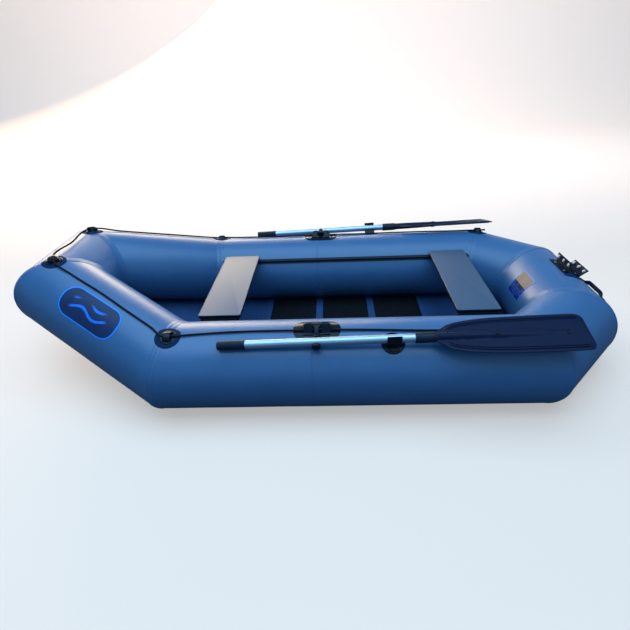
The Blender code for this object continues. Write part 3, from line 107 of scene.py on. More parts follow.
# Grab line, as in the CAD
ROPE_RADIUS = 0.0040
ROPE_HEIGHT = 0.0078
ROPE_REST_HEIGHT = 0.0060
ROPE_SLACK = 0.0015
ROPE_TAIL = 0.042
ROPE_SAMPLES = 18
ROPE_SIDES = 14
ROPE_HOLD = 0.0165
AFT_ROPE_SHARES = ((0.14, 77.6), (0.36, 74.0), (0.58, 75.0), (0.80, 77.6))
FORE_ROPE_SHARES = ((0.18, 79.4), (0.42, 79.2), (0.66, 77.8), (0.86, 75.6))
BOW_ROPE_SHARES = ((0.10, 75.0), (0.30, 76.0), (0.54, 77.5), (0.80, 76.8))
TUNNEL_ANGLE = 78.5
ROWLOCK_LENGTH = 0.105

# Rowlock and oar, as in the CAD
ROWLOCK_X = -0.131
ROWLOCK_ANGLE = math.radians(82)
PIVOT_HEIGHT = 0.0229
OAR_ARM = 0.0850
REST_DIP = math.radians(15)
SHAFT_RADIUS = 0.0165
GRIP_RADIUS = 0.0179
GRIP_LENGTH = 0.108
GRIP_TUBE_CLEARANCE = 0.0014
GRIP_RIBS = 12
GRIP_RIB_START = 0.010
GRIP_RIB_PITCH = 0.0068
GRIP_RIB_DEPTH = 0.0007
OAR_PIN_PLACE = 0.377
OAR_LENGTH = 1.359
SOCKET_PLACE = 0.742
SOCKET_LENGTH = 0.075
SOCKET_RADIUS = 0.0204
KNOB_SEAT = OAR_ARM + SHAFT_RADIUS + 0.0003
KNOB_RADIUS = 0.0170
KNOB_LENGTH = 0.0165
KNOB_SIDES = 64
KNOB_PROFILE = (
    (0.0, 0.80), (0.0016, 0.93), (0.0045, 1.0), (0.0100, 1.0), (0.0128, 0.94),
    (0.0146, 0.80), (0.0151, 0.55), (0.0158, 0.46), (KNOB_LENGTH, 0.30),
)
PIN_BORE = 0.0063
PIN_DEPTH = 0.0123

# Blade: share of its length, then share of its half width
BLADE_START = 0.8152
BLADE_HALF_WIDTH = 0.087
BLADE_OUTLINE_SHARES = (
    (0.000, 0.24), (0.040, 0.43), (0.090, 0.65), (0.150, 0.78), (0.230, 0.87),
    (0.320, 0.935), (0.420, 0.975), (0.550, 0.99), (0.700, 1.00), (0.890, 1.00),
    (0.950, 0.99), (0.975, 0.95), (0.990, 0.87), (1.000, 0.72),
)
BLADE_STEPS = 150
# How far in from the edge the blade's grid lines run, close together over its two ribs
BLADE_RIB_LINES = (0.0262, 0.0243, 0.0227, 0.0208, 0.0182, 0.0168, 0.0150, 0.0132, 0.0118,
                   0.0045, 0.0022)
EYE_SHARES = (0.406, 0.868)
EYE_PROFILE = ((0.0100, -0.0010), (0.0098, 0.0006), (0.0092, 0.0016), (0.0080, 0.0016),
               (0.0074, 0.0009), (0.0073, 0.0005))

FINISH_COLOURS = {
    "hull_fabric": (0.034, 0.105, 0.240),
    "floor_fabric": (0.0175, 0.0520, 0.1500),
    "patch_fabric": (0.0065, 0.0190, 0.0560),
    "moulding": (0.0030, 0.0060, 0.0140),
    "slat_cover": (0.0025, 0.0030, 0.0055),
    "seat_face": (0.030, 0.060, 0.120),
    # black edges of the seats, and painted shade on the floors of the blade's eyes
    "black_edge": (0.0022, 0.0030, 0.0060),
    "blade": (0.0022, 0.0065, 0.0290),
    "rubber": (0.0050, 0.0100, 0.0240),
    "shaft": (0.36, 0.45, 0.58),
    "steel": (0.62, 0.64, 0.67),
    "bracket": (0.0025, 0.0045, 0.0120),
    "rope": (0.0025, 0.0035, 0.0075),
}


# Shader building


def wire(tree, node, inputs):
    """Set a node's inputs by name, or by number as i0, i1, to values or to other sockets."""
    for name, value in inputs.items():
        numbered = name[0] == "i" and name[1:].isdigit()
        socket = node.inputs[int(name[1:]) if numbered else name.replace("_", " ")]
        if isinstance(value, bpy.types.NodeSocket):
            tree.links.new(value, socket)
        else:
            socket.default_value = value
    return node


def shader_node(tree, kind, settings=(), **inputs):
    """A shader node with its settings and inputs."""
    node = tree.nodes.new(f"ShaderNode{kind}")
    for name, value in dict(settings).items():
        setattr(node, name, value)
    return wire(tree, node, inputs)


def math_node(tree, operation, *values):
    """A Math node over numbers or sockets."""
    inputs = {f"i{i}": value for i, value in enumerate(values)}
    return shader_node(tree, "Math", {"operation": operation}, **inputs).outputs[0]


def group(name, inputs, outputs, sort="Shader"):
    """An empty node group with these sockets; gives its tree and its two ends."""
    tree = bpy.data.node_groups.new(name, f"{sort}NodeTree")
    for label, kind, value in inputs:
        socket = tree.interface.new_socket(label, in_out="INPUT", socket_type=f"NodeSocket{kind}")
        if value is not None:
            socket.default_value = value
    for label, kind in outputs:
        tree.interface.new_socket(label, in_out="OUTPUT", socket_type=f"NodeSocket{kind}")
    return tree, tree.nodes.new("NodeGroupInput").outputs, tree.nodes.new("NodeGroupOutput").inputs


def cloudy(tree, place, scale, detail, **inputs):
    """Value of a noise texture."""
    return shader_node(tree, "TexNoise", Vector=place, Scale=scale, Detail=detail, **inputs).outputs[0]


def ranged(tree, value, low, high, start=0.0, stop=1.0):
    """Map start..stop to low..high."""
    return shader_node(tree, "MapRange", Value=value, i1=start, i2=stop, i3=low, i4=high).outputs[0]


def mixed(tree, factor, first, second):
    """One colour turning into another."""
    return shader_node(tree, "Mix", {"data_type": "RGBA"}, Factor=factor, i6=first, i7=second).outputs[2]


def weave_group():
    """Fine cloth under a coating: a height, and a tone that varies from place to place."""
    tree, given, result = group(
        "coated weave",
        (("Vector", "Vector", None), ("Threads", "Float", 900.0), ("Pebble", "Float", 260.0)),
        (("Height", "Float"), ("Tone", "Float")),
    )
    split = shader_node(tree, "SeparateXYZ", Vector=given["Vector"]).outputs
    waves = [math_node(tree, "SINE", math_node(tree, "MULTIPLY", split[axis], given["Threads"]))
             for axis in ("X", "Y")]
    cloth = math_node(tree, "MULTIPLY", *waves)
    pebble = cloudy(tree, given["Vector"], given["Pebble"], 3.0, Roughness=0.6)
    tone = cloudy(tree, given["Vector"], 5.5, 6.0, Roughness=0.62)
    tree.links.new(math_node(tree, "MULTIPLY_ADD", cloth, 0.20, pebble), result["Height"])
    tree.links.new(tone, result["Tone"])
    return tree


def scuff_group():
    """Thin scratches and rubbed places: a mask from 0 to 1."""
    tree, given, result = group(
        "scuffs",
        (("Vector", "Vector", None), ("Scale", "Float", 9.0), ("Amount", "Float", 0.5)),
        (("Mask", "Float"),),
    )
    stretched = shader_node(tree, "Mapping", Vector=given["Vector"], Scale=(1.0, 7.0, 3.0)).outputs[0]
    lines = cloudy(tree, stretched, given["Scale"], 9.0, Roughness=0.72)
    cloud = cloudy(tree, given["Vector"], 3.0, 4.0)
    sharp = ranged(tree, math_node(tree, "MULTIPLY", lines, cloud), 0.0, 1.0, 0.26, 0.48)
    tree.links.new(math_node(tree, "MULTIPLY", sharp, given["Amount"]), result["Mask"])
    return tree


def grain_group():
    """Moulded plastic: a fine sparkle-free grain, and a slow drift of tone."""
    tree, given, result = group(
        "moulded grain",
        (("Vector", "Vector", None), ("Scale", "Float", 900.0)),
        (("Height", "Float"), ("Tone", "Float")),
    )
    tree.links.new(cloudy(tree, given["Vector"], given["Scale"], 2.0), result["Height"])
    tree.links.new(cloudy(tree, given["Vector"], 18.0, 5.0), result["Tone"])
    return tree


GROUPS = {"weave": weave_group(), "scuff": scuff_group(), "grain": grain_group()}


def use_group(tree, name, **inputs):
    """Place a shared group in a material."""
    node = tree.nodes.new("ShaderNodeGroup")
    node.node_tree = GROUPS[name]
    return wire(tree, node, inputs).outputs


def start_material(name, **constants):
    """A Principled material with constants on its own sockets."""
    made = bpy.data.materials.new(name)
    made.use_nodes = True
    tree = made.node_tree
    shader = tree.nodes["Principled BSDF"]
    for label, value in constants.items():
        shader.inputs[label.replace("_", " ")].default_value = value
    return made, tree, shader


def coordinates(tree, which="Object"):
    """Object coordinates or the piece's own UV map."""
    return tree.nodes.new("ShaderNodeTexCoord").outputs[which]


def tinted(tree, colour, tone, spread):
    """This colour, a little darker and lighter with the tone."""
    ramp = shader_node(tree, "ValToRGB", Fac=tone)
    low, high = ramp.color_ramp.elements
    low.position, high.position = 0.30, 0.72
    low.color = (*(c * (1 - spread) for c in colour), 1)
    high.color = (*(c * (1 + spread) for c in colour), 1)
    return ramp.outputs[0]


def surfaced(tree, shader, colour, rough, *bump):
    """Link a colour and a roughness, and a bump as its height, strength and distance."""
    tree.links.new(colour, shader.inputs["Base Color"])
    tree.links.new(rough, shader.inputs["Roughness"])
    if bump:
        height, strength, distance = bump
        made = shader_node(tree, "Bump", Strength=strength, Distance=distance, Height=height)
        tree.links.new(made.outputs[0], shader.inputs["Normal"])


def worn(tree, colour, tone, spread, scuff, pale, rough, wear):
    """Colour and roughness that follow a tone, paler and duller where scuffed."""
    gain, lift = pale
    rubbed = [min(1.0, c * gain + lift) for c in colour]
    shade = mixed(tree, scuff, tinted(tree, colour, tone, spread), (*rubbed, 1))
    return shade, math_node(tree, "MULTIPLY_ADD", scuff, wear, ranged(tree, tone, *rough))


def fabric_material(name, colour, roughness, threads, where="UV", spread=0.06, specular=0.5):
    """Coated boat fabric: weave ghosting through the coating, slow tone drift and light scuffs."""
    made, tree, shader = start_material(name, Specular_IOR_Level=specular)
    weave = use_group(tree, "weave", Vector=coordinates(tree, where), Threads=threads)
    scuff = use_group(tree, "scuff", Vector=coordinates(tree), Amount=0.30)["Mask"]
    look = worn(tree, colour, weave["Tone"], spread, scuff, (1.25, 0.006),
                (roughness - 0.05, roughness + 0.06), 0.12)
    surfaced(tree, shader, *look, weave["Height"], 0.20, 0.0006)
    return made


def moulding_material(name, colour, roughness, specular, scale=900.0):
    """Injection moulded plastic or rubber, lightly rubbed."""
    made, tree, shader = start_material(name, Specular_IOR_Level=specular)
    place = coordinates(tree)
    grain = use_group(tree, "grain", Vector=place, Scale=scale)
    scuff = use_group(tree, "scuff", Vector=place, Scale=22.0, Amount=0.4)["Mask"]
    look = worn(tree, colour, grain["Tone"], 0.16, scuff, (1.6, 0.0015),
                (roughness - 0.06, roughness + 0.08), 0.15)
    surfaced(tree, shader, *look, grain["Height"], 0.16, 0.0003)
    return made


def metal_material(name, colour, roughness, along):
    """Drawn or brushed metal with fine lines along one axis."""
    made, tree, shader = start_material(name, Metallic=1.0)
    place = coordinates(tree)
    lines = shader_node(tree, "Mapping", Vector=place, Scale=along).outputs[0]
    brush = cloudy(tree, lines, 220.0, 4.0)
    cloud = cloudy(tree, place, 7.0, 4.0)
    rough = math_node(tree, "MULTIPLY_ADD", brush, 0.14, ranged(tree, cloud, roughness - 0.06, roughness))
    surfaced(tree, shader, tinted(tree, colour, cloud, 0.07), rough, brush, 0.08, 0.0002)
    return made


def board_material(name, colour, roughness):
    """Film-faced board: a faint long grain under a satin film."""
    made, tree, shader = start_material(name, Coat_Weight=0.26, Coat_Roughness=0.52)
    place = coordinates(tree)
    long = shader_node(tree, "Mapping", Vector=place, Scale=(26.0, 3.0, 26.0)).outputs[0]
    grain = cloudy(tree, long, 9.0, 7.0, Roughness=0.65)
    scuff = use_group(tree, "scuff", Vector=place, Scale=14.0, Amount=0.35)["Mask"]
    look = worn(tree, colour, grain, 0.07, scuff, (1.2, 0.008), (roughness, roughness + 0.07), 0.12)
    surfaced(tree, shader, *look, grain, 0.08, 0.0003)
    return made


def slat_material():
    """Black woven cover over a stiff board, creased; its colour is darker in the creases and lighter on
    their crests, painted shade and light that follow the crease bump.
    """
    made, tree, shader = start_material("slat_cover", Specular_IOR_Level=0.15)
    place = coordinates(tree, "UV")
    weave = use_group(tree, "weave", Vector=place, Threads=2400.0, Pebble=420.0)
    crease = cloudy(tree, place, 26.0, 5.0, Distortion=1.4)
    height = math_node(tree, "MULTIPLY_ADD", crease, 5.0, weave["Height"])
    # painted shade and light: the crease noise that raises the bump also darkens the colour down in the
    # creases and lightens it on their crests
    surfaced(tree, shader, tinted(tree, FINISH_COLOURS["slat_cover"], crease, 0.45),
             ranged(tree, weave["Tone"], 0.55, 0.80), height, 0.5, 0.0008)
    return made


def rope_material():
    """Braided cord: two sets of strands crossing round it, with painted shade in the grooves between the
    strands and painted light on their crowns.
    """
    made, tree, shader = start_material("rope", Sheen_Weight=0.03, Specular_IOR_Level=0.16)
    split = shader_node(tree, "SeparateXYZ", Vector=coordinates(tree, "UV")).outputs
    run = math_node(tree, "MULTIPLY", split["X"], 520.0)
    strands = []
    for sign in (1.0, -1.0):
        turn = math_node(tree, "MULTIPLY_ADD", split["Y"], 4 * math.tau * sign, run)
        strands.append(math_node(tree, "ABSOLUTE", math_node(tree, "SINE", turn)))
    braid = math_node(tree, "MULTIPLY", *strands)
    fuzz = cloudy(tree, coordinates(tree), 700.0, 3.0)
    # painted shade and light: the braid pattern that makes the bump also darkens the colour in the
    # grooves between strands and lightens it on their crowns
    tone = math_node(tree, "MULTIPLY_ADD", fuzz, 0.35, math_node(tree, "MULTIPLY", braid, 0.65))
    surfaced(tree, shader, tinted(tree, FINISH_COLOURS["rope"], tone, 0.55),
             ranged(tree, fuzz, 0.62, 0.88), math_node(tree, "MULTIPLY_ADD", fuzz, 0.25, braid),
             0.7, 0.0012)
    return made


def badge_material():
    """Navy oval-ended plate with plain crossing waves and a bright rim; it says nothing."""
    made, tree, shader = start_material("badge", Specular_IOR_Level=0.25)
    split = shader_node(tree, "SeparateXYZ", Vector=coordinates(tree, "UV")).outputs
    swing = math_node(tree, "SINE", math_node(tree, "MULTIPLY", split["X"], 42.0))
    wave = math_node(tree, "MULTIPLY_ADD", swing, 0.012, split["Y"])
    bands = math_node(tree, "SINE", math_node(tree, "MULTIPLY", wave, 150.0))
    fade = ranged(tree, math_node(tree, "ABSOLUTE", split["Y"]), 1.0, 0.0, 0.022, 0.034)
    ends = ranged(tree, math_node(tree, "ABSOLUTE", split["X"]), 1.0, 0.0, 0.085, 0.105)
    line = ranged(tree, bands, 0.0, 1.0, 0.55, 0.75)
    mask = math_node(tree, "MULTIPLY", math_node(tree, "MULTIPLY", line, fade), ends)
    grain = use_group(tree, "grain", Vector=coordinates(tree))["Tone"]
    colour = mixed(tree, mask, tinted(tree, (0.006, 0.020, 0.075), grain, 0.2), (0.002, 0.16, 0.75, 1))
    surfaced(tree, shader, colour, ranged(tree, grain, 0.32, 0.46))
    return made


def label_material():
    """Two-tone plate with rows of plain blocks."""
    made, tree, shader = start_material("label", Specular_IOR_Level=0.10)
    place = coordinates(tree, "UV")
    split = shader_node(tree, "SeparateXYZ", Vector=place).outputs
    upper = math_node(tree, "GREATER_THAN", split["Y"], 0.004)
    blocks = shader_node(tree, "TexBrick", {"offset": 0.37}, Vector=place, Scale=1.0,
                         Mortar_Size=0.0022, Brick_Width=0.019, Row_Height=0.0125,
                         Color1=(0.003, 0.006, 0.020, 1), Color2=(0.003, 0.085, 0.50, 1),
                         Mortar=(0.003, 0.005, 0.014, 1)).outputs[0]
    grain = use_group(tree, "grain", Vector=coordinates(tree))["Tone"]
    colour = mixed(tree, upper, blocks, tinted(tree, (0.31, 0.19, 0.135), grain, 0.14))
    surfaced(tree, shader, colour, ranged(tree, grain, 0.55, 0.70))
    return made


def rim_material():
    """Bright printed rim of the plates."""
    made, tree, shader = start_material("bright_rim", Specular_IOR_Level=0.25)
    grain = use_group(tree, "grain", Vector=coordinates(tree))["Tone"]
    surfaced(tree, shader, tinted(tree, (0.002, 0.22, 0.95), grain, 0.06),
             ranged(tree, grain, 0.34, 0.46))
    return made


def make_finishes():
    """Every finish on the boat."""
    made = {"slat_cover": slat_material(), "rope": rope_material(), "badge": badge_material(),
            "label": label_material(), "bright_rim": rim_material()}
    for build, finishes in (
        (fabric_material, {"hull_fabric": (0.36, 1900.0),
                           "floor_fabric": (0.48, 1900.0, "Object", 0.14),
                           "patch_fabric": (0.76, 1500.0, "Object", 0.06, 0.05)}),
        (moulding_material, {"moulding": (0.20, 0.15), "rubber": (0.44, 0.2),
                             "blade": (0.42, 0.12, 700.0), "bracket": (0.46, 0.08),
                             "black_edge": (0.46, 0.18)}),
        (board_material, {"seat_face": (0.44,)}),
        (metal_material, {"shaft": (0.35, (1.0, 14.0, 14.0)), "steel": (0.28, (1.0, 1.0, 8.0))}),
    ):
        for name, values in finishes.items():
            made[name] = build(name, FINISH_COLOURS[name], *values)
    return made


FINISH = make_finishes()


# Making pieces


def placed(name, data):
    """A new object in the scene."""
    obj = bpy.data.objects.new(name, data)
    bpy.context.scene.collection.objects.link(obj)
    return obj


def meshed(name, shape):
    """A smoothly shaded mesh from a bmesh."""
    mesh = bpy.data.meshes.new(name)
    shape.to_mesh(mesh)
    shape.free()
    mesh.shade_smooth()
    return mesh


def carried(obj, body, replaces=()):
    """Let a piece ride on a body, in place of its CAD nodes."""
    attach(obj, body)
    if replaces:
        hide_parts(*replaces)
    return obj


def baked(obj, sharp):
    """Give an object the mesh that its modifier makes, with edges sharp from this angle."""
    graph = bpy.context.evaluated_depsgraph_get()
    done = bpy.data.meshes.new_from_object(obj.evaluated_get(graph))
    obj.modifiers.clear()
    obj.data = done
    done.shade_smooth()
    done.set_sharp_from_angle(angle=math.radians(sharp))
    return obj


def piece(name, shape, finishes, body=HULL, replaces=(), smooth=35, shifted=True):
    """Finish a bmesh as a piece of the boat that rides on a body and may stand for CAD nodes."""
    if shifted:
        shape.transform(SHIFT)
    mesh = meshed(name, shape)
    if smooth:
        mesh.set_sharp_from_angle(angle=math.radians(smooth))
    names = (finishes,) if isinstance(finishes, str) else finishes
    for finish in names:
        mesh.materials.append(FINISH[finish])
    return carried(placed(name, mesh), body, replaces)


def mirrored(shape):
    """A bmesh copied to the other side, faces still outwards."""
    twin = shape.copy()
    twin.transform(MIRROR)
    bmesh.ops.reverse_faces(twin, faces=twin.faces)
    return twin


def on_both_sides(name, shape, finishes, bodies=(HULL, HULL), replaces=(), smooth=35):
    """The port piece and its starboard twin; names carry the side in braces."""
    twin = mirrored(shape)
    for side, body, form in (("port", bodies[0], shape), ("starboard", bodies[1], twin)):
        stands_for = [node.format(side) for node in replaces]
        piece(name.format(side), form, finishes, body, stands_for, smooth)


def grid(shape, rows, closed_row=False, closed_column=False, uv=None):
    """Quads over rows of points; uv gives a pair for every row and column."""
    verts = [[shape.verts.new(p) for p in row] for row in rows]
    layer = shape.loops.layers.uv.verify() if uv else None
    count_rows = len(rows) if closed_column else len(rows) - 1
    count = len(rows[0]) if closed_row else len(rows[0]) - 1
    for r in range(count_rows):
        for c in range(count):
            corners = ((r, c), (r, c + 1), (r + 1, c + 1), (r + 1, c))
            face = shape.faces.new([
                verts[i % len(rows)][j % len(rows[0])] for i, j in corners
            ])
            if layer:
                for loop, (i, j) in zip(face.loops, corners):
                    loop[layer].uv = uv(i, j)
    return verts


def cap(shape, ring, flip=False):
    """Close a ring of vertices with one face."""
    shape.faces.new(list(reversed(ring)) if flip else ring)


def closed_tube(shape, rows, uv=None):
    """Quads over these rings, closed at both ends."""
    verts = grid(shape, rows, closed_row=True, uv=uv)
    cap(shape, verts[0], flip=True)
    cap(shape, verts[-1])
    return verts


def joined_rings(shape, one, other):
    """Quads between two rings of vertices."""
    count = len(one)
    return [shape.faces.new((one[i], one[(i + 1) % count], other[(i + 1) % count], other[i]))
            for i in range(count)]


def walled(shape, top, low):
    """Walls round two grids of one size, which close the form between them."""
    for pick in (lambda rows: rows[0], lambda rows: rows[-1],
                 lambda rows: [row[0] for row in rows], lambda rows: [row[-1] for row in rows]):
        one, other = pick(top), pick(low)
        for k in range(len(one) - 1):
            shape.faces.new((one[k], one[k + 1], other[k + 1], other[k]))


def cad_copy(node, degrees):
    """The form of a CAD node, its flat faces whole again."""
    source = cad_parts[node]
    shape = bmesh.new()
    shape.from_mesh(source.data)
    shape.transform(source.matrix_world)
    bmesh.ops.remove_doubles(shape, verts=shape.verts, dist=0.00002)
    bmesh.ops.dissolve_limit(shape, angle_limit=math.radians(degrees), verts=shape.verts,
                             edges=shape.edges)
    return shape


def block(shape, low, high):
    """Box between two corners."""
    for vert in bmesh.ops.create_cube(shape, size=1)["verts"]:
        vert.co = [a if c < 0 else b for c, a, b in zip(vert.co, low, high)]


def outwards(shape):
    """Make a closed form's faces point out."""
    bmesh.ops.recalc_face_normals(shape, faces=shape.faces)
    return shape


def axes(origin, x, y, z):
    """Matrix with these columns."""
    return Matrix([[x[i], y[i], z[i], origin[i]] for i in range(3)] + [[0, 0, 0, 1]])


def standing_on(origin, normal, along):
    """Frame whose z is the normal and whose x is as near to along as it can be."""
    z = normal.normalized()
    x = (along - z * along.dot(z)).normalized()
    return axes(origin, x, z.cross(x), z)


# Hull surface


MITRES = {
    "fore": (FORE, (BOW_RUN - X).normalized()),
    "bow": (BOW, (BOW_RUN + Y).normalized()),
    "aft": (AFT, (STERN_RUN + X).normalized()),
    "stern": (STERN, (STERN_RUN + Y).normalized()),
}
# Each port tube: a point on its axis, its run, and for each mitre the ways away from it
TUBES = {
    "side": (FORE, X, {"fore": (X, BOW_RUN), "aft": (-X, STERN_RUN)}),
    "bow_quarter": (FORE, BOW_RUN, {"fore": (BOW_RUN, X), "bow": (-BOW_RUN, Y)}),
    "bow": (BOW, Y, {"bow": (Y, -BOW_RUN)}),
    "stern_quarter": (AFT, STERN_RUN, {"aft": (STERN_RUN, X * -1), "stern": (-STERN_RUN, Y)}),
    "stern": (STERN, Y, {"stern": (Y, -STERN_RUN)}),
}


def eased(value):
    """Smooth step from 0 to 1."""
    value = min(1.0, max(0.0, value))
    return value * value * (3 - 2 * value)


def over_fabric(tube, point, normal, height=0.0):
    """Where a point of the plain tube lies on the sewn fabric, and this much above it.

    The fabric is rounded and taped at a mitre, and puckers a little inside the corner. Close to
    a mitre it moves within the mitre plane, so the two panels keep meeting there.
    """
    _, run, ends = TUBES[tube]
    height += noise.noise(point * 4.5) * SKIN_SWELL
    way = normal
    for key, (away, beyond) in ends.items():
        on_plane, plane = MITRES[key]
        slope = abs(run.dot(plane))
        far = abs((point - on_plane).dot(plane)) / slope
        if far > PUCKER_REACH:
            continue
        side = -normal.dot((away + beyond).normalized())
        if far < CORNER_ROUNDING:
            tangent = math.sqrt(1 - slope * slope) / slope
            height -= side * tangent * (CORNER_ROUNDING - far) ** 2 / (2 * CORNER_ROUNDING)
            off = normal.dot(plane)
            level = eased(1 - far / CORNER_ROUNDING)
            way = (normal - plane * off * level) / (1 - off * off * level)
        height += TAPE_RISE * eased((TAPE_WIDTH - far) / TAPE_EDGE)
        inside = eased(-side * 1.6)
        across = plane.cross(Z).normalized()
        turn = math.atan2(normal.dot(across), normal.dot(across.cross(plane)))
        fade = inside * (1 - far / PUCKER_REACH) ** 2 * eased(far / TAPE_WIDTH)
        height += PUCKER_DEPTH * fade * math.sin(turn * PUCKER_COUNT)
    if tube == "side":
        far = abs(point.x - BAFFLE_X)
        height += TAPE_RISE * SEAM_SHARE_AT_BAFFLE * eased((TAPE_WIDTH - far) / TAPE_EDGE)
    return point + way * height


def tube_at(point):
    """Which port tube carries this point."""
    def beyond(key):
        on_plane, plane = MITRES[key]
        return (point - on_plane).dot(plane) > 0
    if beyond("fore"):
        return "bow" if beyond("bow") else "bow_quarter"
    if beyond("aft"):
        return "stern" if beyond("stern") else "stern_quarter"
    return "side"


def draped(point, height):
    """The place over the fabric, at this height, that is nearest to a point."""
    if point.y > 0:
        return MIRROR @ draped(MIRROR @ point, height)
    tube = tube_at(point)
    on_axis, run, _ = TUBES[tube]
    axis_point = on_axis + run * (point - on_axis).dot(run)
    normal = (point - axis_point).normalized()
    return over_fabric(tube, axis_point + normal * TUBE_RADIUS, normal, height)


def laid(frame_here, outline, height, share=1.0):
    """A flat outline, shrunk to a share of itself and laid over the fabric."""
    return [draped(frame_here @ Vector((x * share, y * share, 0)), height) for x, y in outline]


def side_point(x, degrees, height):
    """A place over the port side tube: angle from outboard upwards, height over the fabric."""
    angle = math.radians(degrees)
    radius = TUBE_RADIUS + height
    return Vector((x, -SIDE_Y - radius * math.cos(angle), TUBE_RADIUS + radius * math.sin(angle)))


def slid(point, run, key):
    """Slide a point along a tube until it meets a mitre plane."""
    on_plane, plane = MITRES[key]
    return point + run * ((on_plane - point).dot(plane) / run.dot(plane))


def quarter_point(share, degrees, height):
    """A place over the port bow quarter tube, share 0 at the fore mitre and 1 at the bow."""
    start = slid(side_point(0, degrees, height), X, "fore")
    return start.lerp(slid(start, BOW_RUN, "bow"), share)


def tube_skin(tube, start, end, seam_at_end=True):
    """Inflated fabric between two ends, each a function of the angle that gives a point."""
    on_axis, run, _ = TUBES[tube]
    lines = [(start(angle), end(angle)) for angle in (math.tau * i / SKIN_SIDES
                                                      for i in range(SKIN_SIDES))]
    margin = SEAM_STATIONS[-1]
    ends = 2 if seam_at_end else 1
    mean = sum((b - a).length for a, b in lines) / SKIN_SIDES
    middle = max(2, round((mean - ends * margin) / SKIN_STEP))
    stations = [("near", s) for s in SEAM_STATIONS] + [("mid", i / middle) for i in range(1, middle)]
    stations += [("far", s) for s in reversed(SEAM_STATIONS)] if seam_at_end else [("mid", 1.0)]
    rows = []
    for kind, value in stations:
        row = []
        for a, b in lines:
            squeeze = min(1.0, 0.92 / ends * (b - a).length / margin)
            reach = run * margin * squeeze
            if kind == "near":
                base = a + run * value * squeeze
            elif kind == "far":
                base = b - run * value * squeeze
            else:
                base = (a + reach).lerp(b - reach * (ends - 1), value)
            normal = base - on_axis
            normal = (normal - run * normal.dot(run)).normalized()
            row.append(over_fabric(tube, base, normal))
        rows.append(row)
    shape = bmesh.new()

    def unwrapped(i, j):
        return (rows[i][j % SKIN_SIDES].dot(run), j * math.tau * TUBE_RADIUS / SKIN_SIDES)

    closed_tube(shape, rows, uv=unwrapped)
    return outwards(shape)


def ring_end(key, run=None, first=None):
    """Function of the angle that gives the tube's rim on a mitre plane."""
    def end(angle):
        point = side_point(0, math.degrees(angle), 0)
        if first:
            point = slid(point, X, first)
            return slid(point, run, key)
        return slid(point, X, key)
    return end


def seam_end(angle):
    """Rim on the baffle seam."""
    return side_point(BAFFLE_X, math.degrees(angle), 0)


def hull_skins():
    """The ten panels of inflated fabric."""
    fore = ring_end("fore")
    aft = ring_end("aft")
    bow = ring_end("bow", BOW_RUN, "fore")
    stern = ring_end("stern", STERN_RUN, "aft")
    for part, tube, start, end in (
        ("bow_panel", "bow_quarter", fore, bow),
        ("fore_side_panel", "side", fore, seam_end),
        ("aft_side_panel", "side", seam_end, aft),
        ("quarter_panel", "stern_quarter", aft, stern),
    ):
        shape = tube_skin(tube, start, end)
        on_both_sides("{}_" + part + "_skin", shape, "hull_fabric",
                      replaces=("{}_" + part,), smooth=0)
    for part, tube, start in (("bow_panel", "bow", bow), ("stern_panel", "stern", stern)):
        def to_middle(angle, start=start):
            point = start(angle)
            return Vector((point.x, 0, point.z))
        half = tube_skin(tube, start, to_middle, seam_at_end=False)
        bmesh.ops.delete(half, geom=[f for f in half.faces if len(f.verts) > 4
                                     and abs(f.calc_center_median().y) < 0.03], context="FACES_ONLY")
        whole = half.copy()
        twin = mirrored(half)
        spare = bpy.data.meshes.new("spare")
        twin.to_mesh(spare)
        whole.from_mesh(spare)
        bpy.data.meshes.remove(spare)
        half.free()
        twin.free()
        for vert in whole.verts:
            if abs(vert.co.y) < 0.004:
                vert.co.y = 0
        bmesh.ops.remove_doubles(whole, verts=whole.verts, dist=0.0004)
        piece(f"{part}_skin", whole, "hull_fabric", replaces=(part,), smooth=0)


# Patches and rope loops


def draped_patch(shape, frame_here, outline, rise, rings=7, edge=PATCH_EDGE, lip=0.0):
    """Closed welded patch: rings of an outline shrunk to its middle, laid over the fabric."""
    reach = max(math.hypot(*p) for p in outline)
    inner = 1.0 - edge / reach
    shares = [1.0, 1.0 - edge * 0.5 / reach, inner]
    shares += [inner * (1 - i / rings) for i in range(1, rings)]
    heights = [0.0002, rise * 0.7, rise + lip] + [rise] * (rings - 1)
    verts = grid(shape, [laid(frame_here, outline, height, share)
                         for share, height in zip(shares, heights)], closed_row=True)
    cap(shape, verts[-1])
    low = grid(shape, [laid(frame_here, outline, -0.0004, share) for share in (1.0, 0.5, 0.15)],
               closed_row=True)
    cap(shape, low[-1])
    joined_rings(shape, verts[0], low[0])


def circle(radius, count=48):
    """Outline of a circle."""
    return [(radius * math.cos(math.tau * i / count), radius * math.sin(math.tau * i / count))
            for i in range(count)]


def arch(shape, frame_here, half_width, height, half_length, thickness, steps=26, sides=16):
    """Moulded arch whose feet flare out into the patch."""
    rows = []
    for i in range(steps + 1):
        share = i / steps
        turn = math.pi * share
        foot = abs(1 - 2 * share) ** 5
        centre = Vector((0, half_width * math.cos(turn), height * math.sin(turn) - 0.004 * foot))
        outward = Vector((0, math.cos(turn), math.sin(turn) * half_width / height)).normalized()
        wide = half_length * (1 + 0.45 * foot)
        thick = thickness / 2 * (1 + 0.9 * foot)
        row = []
        for j in range(sides):
            angle = math.tau * j / sides
            c, s = math.cos(angle), math.sin(angle)
            a = math.copysign(abs(c) ** 0.7, c) * wide
            b = math.copysign(abs(s) ** 0.8, s) * thick
            row.append(frame_here @ (centre + X * a + outward * b))
        rows.append(row)
    closed_tube(shape, rows)


def bow_loop_frame():
    """Frame over the port bow corner, turned half way between the two tubes."""
    origin = quarter_point(1.0, BOW_LOOP_ANGLE, 0)
    return standing_on(origin, origin - BOW, BOW_RUN + Y)


def side_frame(x, degrees):
    """Frame on the port side tube."""
    origin = side_point(x, degrees, 0)
    return standing_on(origin, origin - Vector((x, -SIDE_Y, TUBE_RADIUS)), X)


